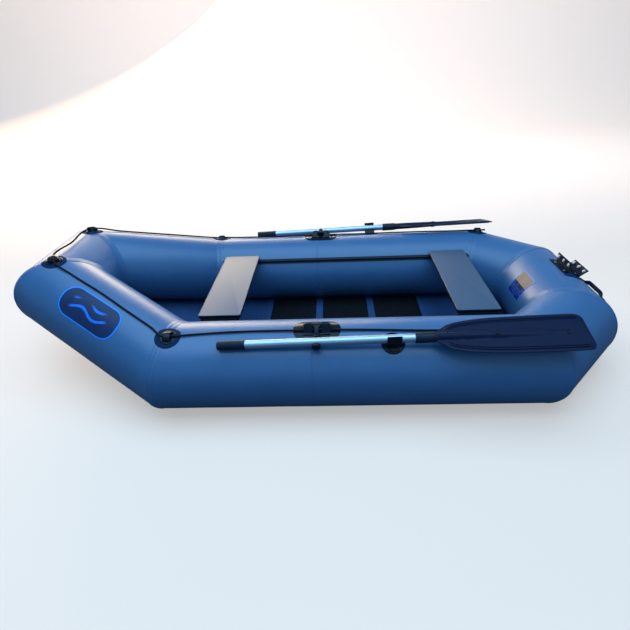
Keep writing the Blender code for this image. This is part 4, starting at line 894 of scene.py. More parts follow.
def rope_loops():
    """Six welded patches with a moulded arch each."""
    patch = circle(LOOP_PATCH_RADIUS)
    wide, deep = LOOP_PAD_SHARES
    for name, place in (
        ("front", side_frame(*FRONT_LOOP)), ("rear", side_frame(*REAR_LOOP)),
        ("bow", bow_loop_frame()),
    ):
        shape = bmesh.new()
        draped_patch(shape, place, patch, PATCH_RISE)
        on_both_sides("{}_" + name + "_loop_patch", outwards(shape), "patch_fabric",
                      replaces=("{}_" + name + "_rope_loop",))
        shape = bmesh.new()
        draped_patch(shape, place, [(x * wide, y * deep) for x, y in patch],
                     PATCH_RISE + LOOP_PAD_RISE, edge=LOOP_PAD_EDGE, lip=LOOP_PAD_LIP)
        arch(shape, place, LOOP_HALF_WIDTH, LOOP_HEIGHT, LOOP_HALF_LENGTH, LOOP_THICKNESS)
        on_both_sides("{}_" + name + "_loop_arch", outwards(shape), "moulding")


# Grab line


def smooth_line(points):
    """Even points of a smooth curve through these."""
    padded = [points[0] * 2 - points[1], *points, points[-1] * 2 - points[-2]]
    line = []
    for p0, p1, p2, p3 in zip(padded, padded[1:], padded[2:], padded[3:]):
        t1 = (p1 - p0).length
        t2 = t1 + (p2 - p1).length
        t3 = t2 + (p3 - p2).length
        for i in range(ROPE_SAMPLES):
            t = t1 + (t2 - t1) * i / ROPE_SAMPLES
            a1 = p0.lerp(p1, t / t1)
            a2 = p1.lerp(p2, (t - t1) / (t2 - t1))
            a3 = p2.lerp(p3, (t - t2) / (t3 - t2))
            b1 = a1.lerp(a2, t / t2)
            b2 = a2.lerp(a3, (t - t1) / (t3 - t1))
            line.append(b1.lerp(b2, (t - t1) / (t2 - t1)))
    return line + [points[-1]]


def rope_route():
    """The grab line's middle, as in the CAD."""
    half = ROWLOCK_LENGTH / 2
    hold = ROPE_HOLD

    def through(x, reach, degrees):
        return [side_point(x - side * reach, degrees, ROPE_HEIGHT) for side in (-1, 1)]

    def between(start, end, shares):
        return [side_point(start + (end - start) * share, degrees, ROPE_REST_HEIGHT)
                for share, degrees in shares]

    port = [side_point(REAR_LOOP[0] + ROPE_TAIL, REAR_LOOP[1], ROPE_HEIGHT)]
    port += through(REAR_LOOP[0], hold, REAR_LOOP[1])
    port += between(REAR_LOOP[0] - hold, ROWLOCK_X + half, AFT_ROPE_SHARES)
    port += through(ROWLOCK_X, half, TUNNEL_ANGLE)
    port += between(ROWLOCK_X - half, FRONT_LOOP[0] + hold, FORE_ROPE_SHARES)
    port += through(FRONT_LOOP[0], hold, FRONT_LOOP[1])
    port += [quarter_point(share, degrees, ROPE_REST_HEIGHT) for share, degrees in BOW_ROPE_SHARES]
    port += [bow_loop_frame() @ Vector((x, 0, ROPE_HEIGHT)) for x in (-hold, hold)]
    crest = Vector((port[-1].x, 0, port[-1].z + ROPE_SLACK))
    return smooth_line(port + [crest] + [MIRROR @ p for p in reversed(port)])


def swept(shape, line, radius_at, sides):
    """Round tube along a line, with UVs of metres along it and turns round it."""
    rows = []
    lengths = [0.0]
    side = None
    for i, point in enumerate(line):
        run = (line[min(i + 1, len(line) - 1)] - line[max(i - 1, 0)]).normalized()
        side = (Z if side is None else side)
        side = (side - run * side.dot(run)).normalized()
        across = run.cross(side)
        rows.append([point + side * a + across * b for a, b in circle(radius_at(i), sides)])
        if i:
            lengths.append(lengths[-1] + (point - line[i - 1]).length)
    closed_tube(shape, rows, uv=lambda i, j: (lengths[i], j / sides))


def grab_line():
    """Braided line, with a heat-sealed sleeve at each end."""
    line = rope_route()
    shape = bmesh.new()
    swept(shape, line, lambda i: ROPE_RADIUS, ROPE_SIDES)
    outwards(shape)
    piece("grab_line_braid", shape, "rope", replaces=("grab_line",))
    start = line[0]
    run = (line[1] - line[0]).normalized()
    knot = bmesh.new()
    tail = [start + run * (0.0005 + 0.0012 * i) for i in range(13)]
    swept(knot, tail, lambda i: ROPE_RADIUS + 0.0009 * eased(min(i, 12 - i) / 2), 16)
    outwards(knot)
    on_both_sides("{}_line_sleeve", knot, "rubber")


# Floor, slats and seats


CLOTH_STEP = 0.024
SHEET_SAG = 0.0022
SHEET_REACH = (0.085, 0.100)
MAT_RIPPLE = 0.0011
MAT_HEM = (0.013, 0.0007)
SHEET_FREE = 0.060
BRACKET_PATCH_ANGLE = math.radians(20)
BRACKET_PATCH_SIZE = (0.096, 0.0485, 0.014)
BAFFLE_FABRIC = 0.0011
BAFFLE_RIM_LENGTH = 0.030
BAFFLE_RINGS = 12
SLAT_GRID = (26, 74)
SLAT_RIM = 0.0035
SLAT_EDGE = 0.007
SLAT_WELT = (0.022, 0.004, 0.0006)
SEAT_CORNER = 0.006
SEAT_ROUNDING = 0.0022
FILM_INSET = 0.0032
FILM_WIDTH = 0.0022
FILM_DEPTHS = (0.0006, 0.0004)


def cut_across(shape, axis, place):
    """Part a form's faces along a plane."""
    bmesh.ops.bisect_plane(shape, geom=[*shape.verts, *shape.edges, *shape.faces], dist=0.00001,
                           plane_co=axis * place, plane_no=axis)


def cloth_copy(node, hems=()):
    """Copy of a CAD sheet, parted into squares of about CLOTH_STEP and cut across at its hems."""
    shape = cad_copy(node, 0.5)
    low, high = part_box(node)
    for axis in (X, Y):
        start, end = low.dot(axis), high.dot(axis)
        count = round((end - start) / CLOTH_STEP)
        for i in range(1, count):
            cut_across(shape, axis, start + (end - start) * i / count)
    for x in hems:
        cut_across(shape, X, x)
    return shape


def bottom_sheet():
    """Bottom sheet and bow ramp, flat under the mat and a little slack all round it."""
    keel = [SHIFT @ p for p in (BOW, FORE, AFT, STERN)]
    keel += [MIRROR @ p for p in reversed(keel)]
    keel = [p.to_2d() for p in keel]
    start, width = SHEET_REACH
    mat_low, mat_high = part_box("slat_mat")
    shape = cloth_copy("bottom_sheet")
    for vert in shape.verts:
        x, y, _ = vert.co
        spot = Vector((x, y))
        away = min((geometry.intersect_point_line(spot, a, b)[0] - spot).length
                   for a, b in zip(keel, keel[1:] + keel[:1]))
        beyond = max(mat_low.x - x, x - mat_high.x, mat_low.y - y, y - mat_high.y)
        slack = eased((away - start) / width) * eased(beyond / SHEET_FREE)
        ripple = noise.noise(Vector((x * 9, y * 5, 2.0))) * 0.30
        ripple += noise.noise(Vector((x * 26, y * 17, 9.0))) * 0.12
        vert.co.z -= SHEET_SAG * slack * (1 + ripple)
    obj = piece("bottom_cloth", outwards(shape), "floor_fabric", replaces=("bottom_sheet",),
                shifted=False, smooth=30)


def slat_mat():
    """Mat under the slats, with hemmed ends and soft ripples where no slat lies on it."""
    boards = [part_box(f"slat_board_{i}") for i in (1, 2, 3)]
    low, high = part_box("slat_mat")
    hem, raised = MAT_HEM
    shape = cloth_copy("slat_mat", hems=(low.x + hem, low.x + hem + 0.001,
                                         high.x - hem - 0.001, high.x - hem))
    for vert in shape.verts:
        x, y, z = vert.co
        free = min(max(a.x - x, x - b.x) for a, b in boards)
        edge = min(x - low.x, high.x - x, y - low.y, high.y - y)
        clear = eased(free / 0.012) * eased(edge / 0.030)
        ripple = 0.5 + 0.5 * noise.noise(Vector((x * 14, y * 6, 4.0)))
        vert.co.z += MAT_RIPPLE * clear * ripple
        if z > (low.z + high.z) / 2 and min(x - low.x, high.x - x) < hem + 0.0005:
            vert.co.z += raised
    obj = piece("mat_cloth", outwards(shape), "floor_fabric", replaces=("slat_mat",),
                shifted=False, smooth=30)


def bracket_patch():
    """Welded patch under the stern bracket's plates."""
    normal = Vector((math.sin(BRACKET_PATCH_ANGLE), 0, math.cos(BRACKET_PATCH_ANGLE)))
    middle = Vector((STERN.x, 0, TUBE_RADIUS)) + normal * TUBE_RADIUS
    shape = bmesh.new()
    draped_patch(shape, standing_on(middle, normal, Y), rounded_outline(*BRACKET_PATCH_SIZE),
                 BRACKET_PATCH_RISE)
    piece("bracket_patch", outwards(shape), "patch_fabric", replaces=("stern_bracket_pad",))


def baffles():
    """Dished fabric walls inside the side tubes."""
    low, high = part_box("port_baffle")
    rim = (high.y - low.y) / 2
    inside = rim - BAFFLE_FABRIC
    half = BAFFLE_RIM_LENGTH / 2
    dish = high.x - low.x - BAFFLE_RIM_LENGTH
    dome = [(inside * i / BAFFLE_RINGS, half - BAFFLE_FABRIC + dish * (1 - (i / BAFFLE_RINGS) ** 2))
            for i in range(1, BAFFLE_RINGS + 1)]
    profile = dome + [(inside, -half), (rim, -half), (rim, half)]
    profile += [(r, h + BAFFLE_FABRIC) for r, h in reversed(dome[:-1])]
    shape = bmesh.new()
    closed_tube(shape, [[Vector((BAFFLE_X - height, y - SIDE_Y, z + TUBE_RADIUS))
                         for y, z in circle(radius, 72)] for radius, height in profile])
    on_both_sides("{}_baffle_wall", outwards(shape), "hull_fabric", replaces=("{}_baffle",))


def slats():
    """Stiff boards in creased black covers."""
    count_x, count_y = SLAT_GRID
    inset, spread, raised = SLAT_WELT
    for i in (1, 2, 3):
        low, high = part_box(f"slat_board_{i}")
        size = high - low
        shape = bmesh.new()

        def surface(a, b, top):
            x = low.x + size.x * a
            y = low.y + size.y * b
            edge = min(x - low.x, high.x - x, y - low.y, high.y - y)
            drop = SLAT_RIM * (1 - eased(edge / SLAT_EDGE))
            if not top:
                return Vector((x, y, low.z + drop * 0.2))
            crease = noise.noise(Vector((x * 22, y * 11, i * 7.0))) * 0.0007
            crease += noise.noise(Vector((x * 60, y * 34, i * 3.0))) * 0.0004
            for end in (y - low.y, high.y - y):
                crease += raised * math.exp(-((end - inset) / spread) ** 2)
            return Vector((x, y, high.z - drop - 0.0011 + crease * eased(edge / 0.02)))

        faces = []
        for top in (True, False):
            rows = [[surface(a / count_x, b / count_y, top) for b in range(count_y + 1)]
                    for a in range(count_x + 1)]
            faces.append(grid(shape, rows, uv=lambda a, b: (size.x * a / count_x, size.y * b / count_y)))
        walled(shape, *faces)
        piece(f"slat_cover_{i}", outwards(shape), "slat_cover",
              replaces=(f"slat_board_{i}",), shifted=False, smooth=60)


def seats():
    """Film-faced boards with dark edges."""
    for name in ("front_seat", "rear_seat"):
        low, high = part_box(name)
        shape = bmesh.new()
        block(shape, low, high)
        upright = [e for e in shape.edges
                   if abs(e.verts[0].co.z - e.verts[1].co.z) > (high.z - low.z) / 2]
        bmesh.ops.bevel(shape, geom=upright, offset=SEAT_CORNER, segments=4, affect="EDGES",
                        profile=0.5)
        rims = [e for e in shape.edges if abs(e.verts[0].co.z - e.verts[1].co.z) < 0.0001
                and len({abs(f.normal.z) > 0.5 for f in e.link_faces}) == 2]
        bmesh.ops.bevel(shape, geom=rims, offset=SEAT_ROUNDING, segments=3, affect="EDGES",
                        profile=0.6)
        shape.normal_update()
        for face in shape.faces:
            face.material_index = 0 if face.normal.z > 0.35 else 1
        piece(f"{name}_board", outwards(shape), ("seat_face", "black_edge"), name,
              replaces=(name,), shifted=False)
        strip = bmesh.new()
        left, right = low.x + FILM_INSET, high.x - FILM_INSET
        near, far = low.y + FILM_INSET, high.y - FILM_INSET
        under, over = high.z - FILM_DEPTHS[0], high.z + FILM_DEPTHS[1]
        for x0, x1, y0, y1 in (
            (left, right, near, near + FILM_WIDTH), (left, right, far - FILM_WIDTH, far),
            (left, left + FILM_WIDTH, near, far), (right - FILM_WIDTH, right, near, far),
        ):
            block(strip, (x0, y0, under), (x1, y1, over))
        piece(f"{name}_edge_film", strip, "seat_face", name, shifted=False)


# Oars


ROWLOCK = standing_on(side_point(ROWLOCK_X, 82, 0),
                      Vector((0, -math.cos(ROWLOCK_ANGLE), math.sin(ROWLOCK_ANGLE))), X)
PIVOT = side_point(ROWLOCK_X, 82, PIVOT_HEIGHT)
PIN_RUN = Vector((0, -math.cos(REST_DIP), -math.sin(REST_DIP)))
YOKE = axes(PIVOT, X, PIN_RUN.cross(X), PIN_RUN)
OAR_CENTRE = PIVOT + PIN_RUN * OAR_ARM


def oar_run():
    """Direction of the stowed oar, as in the CAD."""
    up = PIN_RUN.cross(X)
    from_tube = OAR_CENTRE - Vector((OAR_CENTRE.x, -SIDE_Y, TUBE_RADIUS))
    distance = TUBE_RADIUS + GRIP_TUBE_CLEARANCE + GRIP_RADIUS
    lift = from_tube.dot(up)
    drop = lift - math.sqrt(lift ** 2 - from_tube.length_squared + distance ** 2)
    return (X + up * math.tan(math.asin(drop / OAR_PIN_PLACE))).normalized()


OAR_RUN = oar_run()
OAR_BODIES = ("port_oar", "starboard_oar")
KNOB_BODIES = ("port_knob", "starboard_knob")


def on_oar(place, across, up):
    """Point on the oar: distance from the grip's end, towards the pin's head, and upwards."""
    side = (PIN_RUN - OAR_RUN * PIN_RUN.dot(OAR_RUN)).normalized()
    rise = OAR_RUN.cross(side)
    if rise.z < 0:
        rise = -rise
    return OAR_CENTRE + OAR_RUN * (place - OAR_PIN_PLACE) + side * across + rise * up


def spun(shape, profile, sides):
    """Turn (place, radius) pairs round the oar's axis."""
    closed_tube(shape, [[on_oar(place, a, b) for a, b in circle(radius, sides)]
                        for place, radius in profile])


def grips():
    """Ribbed rubber sleeves, closed at their ends."""
    groove, ridge_top = GRIP_RADIUS - GRIP_RIB_DEPTH, GRIP_RADIUS + GRIP_RIB_DEPTH
    profile = [(0.0, GRIP_RADIUS - 0.004), (0.0006, GRIP_RADIUS - 0.0018), (0.0025, GRIP_RADIUS)]
    for i in range(GRIP_RIBS):
        start = GRIP_RIB_START + i * GRIP_RIB_PITCH
        profile += [(start, GRIP_RADIUS), (start + 0.0008, groove), (start + 0.0024, groove),
                    (start + 0.0032, GRIP_RADIUS)]
    profile += [(GRIP_LENGTH - 0.011, GRIP_RADIUS), (GRIP_LENGTH - 0.009, ridge_top),
                (GRIP_LENGTH - 0.001, ridge_top), (GRIP_LENGTH, GRIP_RADIUS),
                (GRIP_LENGTH, SHAFT_RADIUS - 0.0004)]
    shape = bmesh.new()
    spun(shape, profile, 40)
    on_both_sides("{}_grip_sleeve", outwards(shape), "rubber", OAR_BODIES, ("{}_oar_grip",))


def knobs():
    """Lobed retaining knobs."""
    shape = bmesh.new()
    rows = []
    for place, share in KNOB_PROFILE:
        row = []
        for i in range(KNOB_SIDES):
            angle = math.tau * i / KNOB_SIDES
            lobe = 1 - 0.055 * (0.5 - 0.5 * math.cos(angle * 6)) * (share > 0.75)
            radius = KNOB_RADIUS * share * lobe
            row.append(YOKE @ Vector((radius * math.cos(angle), radius * math.sin(angle),
                                      KNOB_SEAT + place)))
        rows.append(row)
    verts = grid(shape, rows, closed_row=True)
    cap(shape, verts[-1])
    bore = grid(shape, [[YOKE @ Vector((x, y, KNOB_SEAT + place))
                         for x, y in circle(PIN_BORE, KNOB_SIDES)] for place in (0.0, PIN_DEPTH)],
                closed_row=True)
    cap(shape, bore[-1])
    joined_rings(shape, verts[0], bore[0])
    on_both_sides("{}_lobed_knob", outwards(shape), "moulding", KNOB_BODIES, ("{}_oar_knob",))


def blade_half_width(share):
    """Half width of the blade at a share of its length."""
    for (a, wide_a), (b, wide_b) in zip(BLADE_OUTLINE_SHARES, BLADE_OUTLINE_SHARES[1:]):
        if share <= b:
            return BLADE_HALF_WIDTH * (wide_a + (wide_b - wide_a) * (share - a) / (b - a))
    return BLADE_HALF_WIDTH * BLADE_OUTLINE_SHARES[-1][1]


def ridge(value, centre, half, soft):
    """A bump of height 1 round a centre."""
    return eased((half + soft - abs(value - centre)) / soft)


def blade_height(share, across, half):
    """Half thickness of the blade: plate, tapered spine with a keel, and twin ribs at each edge."""
    fade = max(0.0, 1 - (share / 0.86) ** 2)
    spine_half = 0.0175 * min(0.55 + fade, half / BLADE_HALF_WIDTH / 0.40, 1)
    spine = 0.0150 * fade * max(0.0, 1 - (across / spine_half) ** 2) ** 0.7
    keel = 0.0024 * ridge(across, 0, spine_half * 0.62, 0.003) * eased((0.875 - share) / 0.03)
    ends = eased((share - 0.05) / 0.05) * eased((0.972 - share) / 0.012)
    rib = 0.0036 * ridge(across, half - 0.0150, 0.0016, 0.0014)
    rib = max(rib, 0.0028 * ridge(across, half - 0.0235, 0.0010, 0.0012)) * ends
    return 0.0022 + max(spine, keel, rib)


def blade_places(half):
    """Where the blade's grid lines run across it: even inside, close together over the ribs."""
    scale = min(1.0, half / 0.06)
    ribs = [half - d * scale for d in BLADE_RIB_LINES]
    inside = [ribs[0] * k / 13 for k in range(13)]
    across = inside + ribs + [half]
    return [-a for a in reversed(across[1:])] + across


def blades():
    """Moulded blades: a fine grid on each face, the socket round the shaft's end, and two eyes whose
    hollow floors are painted black as shade.
    """
    length = OAR_LENGTH - BLADE_START
    steps = BLADE_STEPS
    stations = [i / steps for i in range(steps - 9)] + [0.945, 0.955, 0.965, 0.975, 0.984, 0.992, 1.0]
    cross = []
    shape = bmesh.new()
    for sign in (1, -1):
        rows = []
        for share in stations:
            half = blade_half_width(share)
            row = []
            for a in blade_places(half):
                height = blade_height(share, abs(a), half)
                if abs(a) > half - 0.0001 or share == 1.0:
                    height = 0.0011
                row.append(on_oar(BLADE_START + share * length, a, sign * height))
            rows.append(row)
        cross.append(grid(shape, rows))
    walled(shape, *cross)
    on_both_sides("{}_blade_plate", outwards(shape), "blade", OAR_BODIES, ("{}_oar_blade",), smooth=50)
    shape = bmesh.new()
    end = SOCKET_PLACE + SOCKET_LENGTH
    profile = [
        (SOCKET_PLACE, SHAFT_RADIUS - 0.0004), (SOCKET_PLACE, SOCKET_RADIUS - 0.0010),
        (SOCKET_PLACE + 0.0010, SOCKET_RADIUS), (SOCKET_PLACE + 0.0080, SOCKET_RADIUS),
        (SOCKET_PLACE + 0.0090, SOCKET_RADIUS - 0.0008), (SOCKET_PLACE + 0.0105, SOCKET_RADIUS - 0.0008),
        (SOCKET_PLACE + 0.0115, SOCKET_RADIUS), (end - 0.012, SOCKET_RADIUS),
        (end - 0.006, SOCKET_RADIUS * 0.96), (end + 0.002, SOCKET_RADIUS * 0.87),
        (end + 0.014, SOCKET_RADIUS * 0.70), (end + 0.030, SOCKET_RADIUS * 0.45),
        (end + 0.040, SOCKET_RADIUS * 0.20),
    ]
    spun(shape, profile, 48)
    on_both_sides("{}_blade_socket", outwards(shape), "rubber", OAR_BODIES)
    shape = bmesh.new()
    for share in EYE_SHARES:
        middle = BLADE_START + share * length
        face = blade_height(share, 0.0, blade_half_width(share))
        for sign in (1, -1):
            rows = [[on_oar(middle + x, y, sign * (face + rise)) for x, y in circle(radius, 28)]
                    for radius, rise in EYE_PROFILE]
            verts = closed_tube(shape, rows)
            # painted shade: the floor of each eye's hollow takes the black finish, standing in for the
            # dark of the recess
            painted_shade_hollow = {*verts[-1], *verts[-2], *verts[-3]}
            for facet in shape.faces:
                if painted_shade_hollow.issuperset(facet.verts):
                    facet.material_index = 1
    on_both_sides("{}_blade_eyes", outwards(shape), ("blade", "black_edge"), OAR_BODIES)


# Mouldings carried over from the CAD, with softened edges


def softened(node, finish, body, width, segments=2):
    """The CAD node's own form with rounded edges and even shading."""
    mesh = meshed(f"{node}_form", cad_copy(node, 1.0))
    mesh.materials.clear()
    mesh.materials.append(FINISH[finish])
    obj = placed(f"{node}_form", mesh)
    bevel = obj.modifiers.new("soft edges", "BEVEL")
    bevel.width = width
    bevel.segments = segments
    bevel.limit_method = "ANGLE"
    bevel.angle_limit = math.radians(38)
    return carried(baked(obj, 40), body, (node,))


# Node, what its name can say, finish, body and width of the soft edge
SOFT_EDGES = (
    ("{}_rowlock_base", ("port", "starboard"), "moulding", HULL, 0.0011),
    ("{}_yoke", ("port", "starboard"), "moulding", "{}_oar", 0.0009),
    ("{}_oar_holder", ("port", "starboard"), "moulding", HULL, 0.0008),
    ("port_{}_clip", ("front_seat", "rear_seat"), "black_edge", "{}", 0.0007),
    ("starboard_{}_clip", ("front_seat", "rear_seat"), "black_edge", "{}", 0.0007),
    ("stern_bracket_{}_plate", ("front", "rear"), "bracket", HULL, 0.0005),
    ("{}_valve_body", ("fore", "aft"), "moulding", HULL, 0.0006),
    ("{}_valve_cap", ("fore", "aft"), "moulding", "{}_valve_cap", 0.0005),
)


def mouldings():
    """Fittings whose CAD form is right, dressed with soft edges."""
    for node, kinds, finish, body, width in SOFT_EDGES:
        for kind in kinds:
            softened(node.format(kind), finish, body.format(kind), width)


def springs():
    """Valve springs with softened edges, each with a mesh of its own."""
    for valve in ("fore", "aft"):
        obj = softened(f"{valve}_valve_spring", "steel", HULL, 0.0001, segments=1)
        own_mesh(obj)


def carried_over():
    """CAD nodes that show as they are, in their finish."""
    finishes = {
        "port_seat_rail": "rubber", "starboard_seat_rail": "rubber",
        "port_oar_shaft": "shaft", "starboard_oar_shaft": "shaft",
        "port_rowlock_axle": "steel", "starboard_rowlock_axle": "steel",
        "fore_valve_plunger": "moulding", "aft_valve_plunger": "moulding",
    }
    for node, finish in finishes.items():
        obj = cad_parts[node]
        for slot in obj.material_slots:
            slot.material = FINISH[finish]


# Repeated hardware


def instance_tree():
    """Geometry Nodes tree: a flanged bolt on every point, turned to the point's own normal."""
    tree, given, result = group(
        "bolts on points",
        (("Geometry", "Geometry", None), ("Head Radius", "Float", 0.0062),
         ("Head Height", "Float", 0.0040), ("Washer Radius", "Float", 0.0085),
         ("Washer Height", "Float", 0.0012), ("Material", "Material", None)),
        (("Geometry", "Geometry"),), "Geometry",
    )

    def node(kind, **inputs):
        return wire(tree, tree.nodes.new(kind), inputs)

    def shape_node(kind, **inputs):
        return node(f"GeometryNode{kind}", **inputs).outputs[0]

    washer = shape_node("MeshCylinder", Vertices=24, Radius=given["Washer Radius"],
                        Depth=given["Washer Height"])
    head = shape_node("MeshCylinder", Vertices=6, Radius=given["Head Radius"],
                      Depth=given["Head Height"])
    lift = shader_node(tree, "CombineXYZ", Z=math_node(tree, "MULTIPLY", given["Head Height"], 0.62))
    lifted = shape_node("Transform", Geometry=head, Translation=lift.outputs[0])
    bolt = node("GeometryNodeJoinGeometry", i0=washer)
    tree.links.new(lifted, bolt.inputs[0])
    facing = node("GeometryNodeInputNamedAttribute", Name="facing")
    facing.data_type = "FLOAT_VECTOR"
    turn = node("FunctionNodeAlignRotationToVector", Vector=facing.outputs[0])
    turn.axis = "Z"
    spread = shape_node("InstanceOnPoints", Points=given["Geometry"], Instance=bolt.outputs[0],
                        Rotation=turn.outputs[0])
    real = shape_node("RealizeInstances", Geometry=spread)
    dressed = shape_node("SetMaterial", Geometry=real, Material=given["Material"])
    tree.links.new(dressed, result[0])
    return tree


def hardware(name, places, finish, body, tree, **sizes):
    """Bake the bolt tree over places, each a point and the way its head faces."""
    mesh = bpy.data.meshes.new(name)
    mesh.from_pydata([tuple(SHIFT @ p) for p, _ in places], [], [])
    facing = mesh.attributes.new("facing", "FLOAT_VECTOR", "POINT")
    for i, (_, direction) in enumerate(places):
        facing.data[i].vector = direction
    obj = placed(name, mesh)
    modifier = obj.modifiers.new("bolts", "NODES")
    modifier.node_group = tree
    inputs = {item.name: item.identifier for item in tree.interface.items_tree
              if item.in_out == "INPUT"}
    modifier[inputs["Material"]] = FINISH[finish]
    for label, value in sizes.items():
        modifier[inputs[label.replace("_", " ")]] = value
    return carried(baked(obj, 35), body)


def stern_frame(y, facet, height=0.0):
    """Frame on the stern tube, counted in 9 degree facets from the top towards aft."""
    angle = math.radians(9 * facet)
    normal = Vector((math.sin(angle), 0, math.cos(angle)))
    origin = Vector((STERN.x, y, TUBE_RADIUS)) + normal * (TUBE_RADIUS + height)
    return axes(origin, Y, normal.cross(Y), normal)


HANDLE_PLACE = (-0.133, 5)
HANDLE_HALF_LENGTH = 0.1025
HANDLE_HALF_WIDTH = 0.0130
# Share of the half length, underside and top above the tube
HANDLE_STATIONS = (
    (0.00, 0.0040, 0.0214), (0.36, 0.0040, 0.0212), (0.44, 0.0037, 0.0205), (0.50, 0.0030, 0.0180),
    (0.60, 0.0010, 0.0100), (0.66, 0.0002, 0.0064), (0.76, 0.0001, 0.0050), (0.96, 0.0001, 0.0040),
    (0.985, 0.0003, 0.0032), (1.00, 0.0008, 0.0020),
)
HANDLE_GROOVE_PITCH = 0.0150
HANDLE_GROOVE_DEPTH = 0.0010


def handle():
    """Moulded stern handle: a thick grooved grip between two flat tabs."""
    here = stern_frame(*HANDLE_PLACE)
    shares = sorted({*(s for s, _, _ in HANDLE_STATIONS), *(i / 60 for i in range(61))})
    shares = [-s for s in reversed(shares) if s] + shares
    known = [s for s, _, _ in HANDLE_STATIONS]
    rows = []
    for share in shares:
        size = abs(share)
        k = min(max(i for i, s in enumerate(known) if s <= size), len(known) - 2)
        part = (size - known[k]) / (known[k + 1] - known[k])
        low, high = (a + (b - a) * part for a, b in zip(HANDLE_STATIONS[k][1:],
                                                       HANDLE_STATIONS[k + 1][1:]))
        along = share * HANDLE_HALF_LENGTH
        groove = HANDLE_GROOVE_DEPTH * eased((0.42 - size) / 0.04) * (
            0.5 + 0.5 * math.cos(math.tau * along / HANDLE_GROOVE_PITCH)) ** 4
        middle, half = (low + high) / 2, (high - low) / 2 - groove / 2
        width = HANDLE_HALF_WIDTH * (1.0 if size < 0.96 else 0.82)
        row = []
        for i in range(36):
            c, s = math.cos(math.tau * i / 36), math.sin(math.tau * i / 36)
            across = width * math.copysign(abs(c) ** 0.55, c)
            up = middle + half * math.copysign(abs(s) ** 0.55, s)
            row.append(here @ Vector((along, across, up - across * across / (2 * TUBE_RADIUS))))
        rows.append(row)
    shape = bmesh.new()
    closed_tube(shape, rows)
    piece("stern_grip", outwards(shape), "moulding", replaces=("stern_handle",), smooth=48)


HOLDER_PLACE = (0.157, 59.7)
HOLDER_RINGS = ((0.0418, 0.0015), (0.0335, 0.0012))
PLATE_RINGS = (1.0, 0.92, 0.84, 0.75, 0.66, 0.57, 0.48, 0.39, 0.30, 0.21, 0.12, 0.04)
BRACKET_BASE = 0.0028
PLATE_THICKNESS = 0.0030
PLATE_FOOT = 0.0220
BOLT_SETBACK = 0.0140
BOLT_PITCH = 0.048
PLATE_SETBACK = 0.0020
BOLT_HALF_GRIP = 0.0021
FOOT_SCREW_Y = 0.045
FOOT_SCREW = {"Head_Radius": 0.0042, "Head_Height": 0.0022,
              "Washer_Radius": 0.0060, "Washer_Height": 0.0008}
AXLE_CAP_REACH = 0.0458
AXLE_CAP = {"Head_Radius": 0.0045, "Head_Height": 0.0016,
            "Washer_Radius": 0.0062, "Washer_Height": 0.0012}
RIVET_PLACE = (0.062, 0.0154)
RIVET = {"Head_Radius": 0.0022, "Head_Height": 0.0010,
         "Washer_Radius": 0.0038, "Washer_Height": 0.0009}


def bracket_bolts(tree):
    """Three bolts through each bracket plate, and screws through its feet."""
    leaves = []
    feet = []
    for facet, height, lean in ((1, 0.0470, 0.0), (3, 0.0440, 52.0)):
        here = stern_frame(0, facet)
        aft = -here.col[1].to_3d()
        normal = here.col[2].to_3d()
        bend = (here.translation + aft * (PLATE_FOOT / 2 + PLATE_SETBACK)
                + normal * (BRACKET_BASE + PLATE_THICKNESS / 2))
        lean = math.radians(lean)
        rise = Vector((math.sin(lean), 0, math.cos(lean)))
        face = Vector((-math.cos(lean), 0, math.sin(lean)))
        for i in (-1, 0, 1):
            spot = bend + rise * (height - BOLT_SETBACK) + Y * i * BOLT_PITCH
            leaves += [(spot + way * BOLT_HALF_GRIP, way) for way in (face, -face)]
        for y in (-FOOT_SCREW_Y, FOOT_SCREW_Y):
            spot = here.translation + Y * y - aft * 0.001
            feet.append((spot + normal * (BRACKET_BASE + PLATE_THICKNESS + 0.0004), normal))
    hardware("bracket_bolts", leaves, "steel", HULL, tree)
    hardware("bracket_foot_screws", feet, "steel", HULL, tree, **FOOT_SCREW)


def rowlock_details(tree):
    """Axle end caps and the rivets that hold each rowlock to its patch."""
    caps = []
    rivets = []
    for sign in (-1, 1):
        caps.append((PIVOT + X * sign * AXLE_CAP_REACH, X * sign))
        for y in (-RIVET_PLACE[1], RIVET_PLACE[1]):
            spot = draped(ROWLOCK @ Vector((sign * RIVET_PLACE[0], y, 0)), 0.0026)
            rivets.append((spot, (spot - Vector((spot.x, -SIDE_Y, TUBE_RADIUS))).normalized()))
    for side, flip in (("port", Matrix.Identity(4)), ("starboard", MIRROR)):
        for name, places, finish, sizes in (("axle_caps", caps, "steel", AXLE_CAP),
                                            ("rowlock_rivets", rivets, "moulding", RIVET)):
            put = [(flip @ p, flip.to_3x3() @ n) for p, n in places]
            hardware(f"{side}_{name}", put, finish, HULL, tree, **sizes)


# Printed panels, all of them plain


def rounded_outline(half_length, half_width, corner, bend=10, along=44, across=20):
    """Outline of a rectangle with round corners, finely parted all the way round."""
    outline = []
    quarters = ((1, 1), (-1, 1), (-1, -1), (1, -1))
    for quarter, (sx, sy) in enumerate(quarters):
        for i in range(bend):
            angle = (quarter + i / (bend - 1)) * math.pi / 2
            outline.append((sx * (half_length - corner) + corner * math.cos(angle),
                            sy * (half_width - corner) + corner * math.sin(angle)))
        nx, ny = quarters[(quarter + 1) % 4]
        angle = (quarter + 1) * math.pi / 2
        end_x = nx * (half_length - corner) + corner * math.cos(angle)
        end_y = ny * (half_width - corner) + corner * math.sin(angle)
        from_x, from_y = outline[-1]
        count = across if quarter % 2 else along
        outline += [(from_x + (end_x - from_x) * k / count, from_y + (end_y - from_y) * k / count)
                    for k in range(1, count)]
    return outline


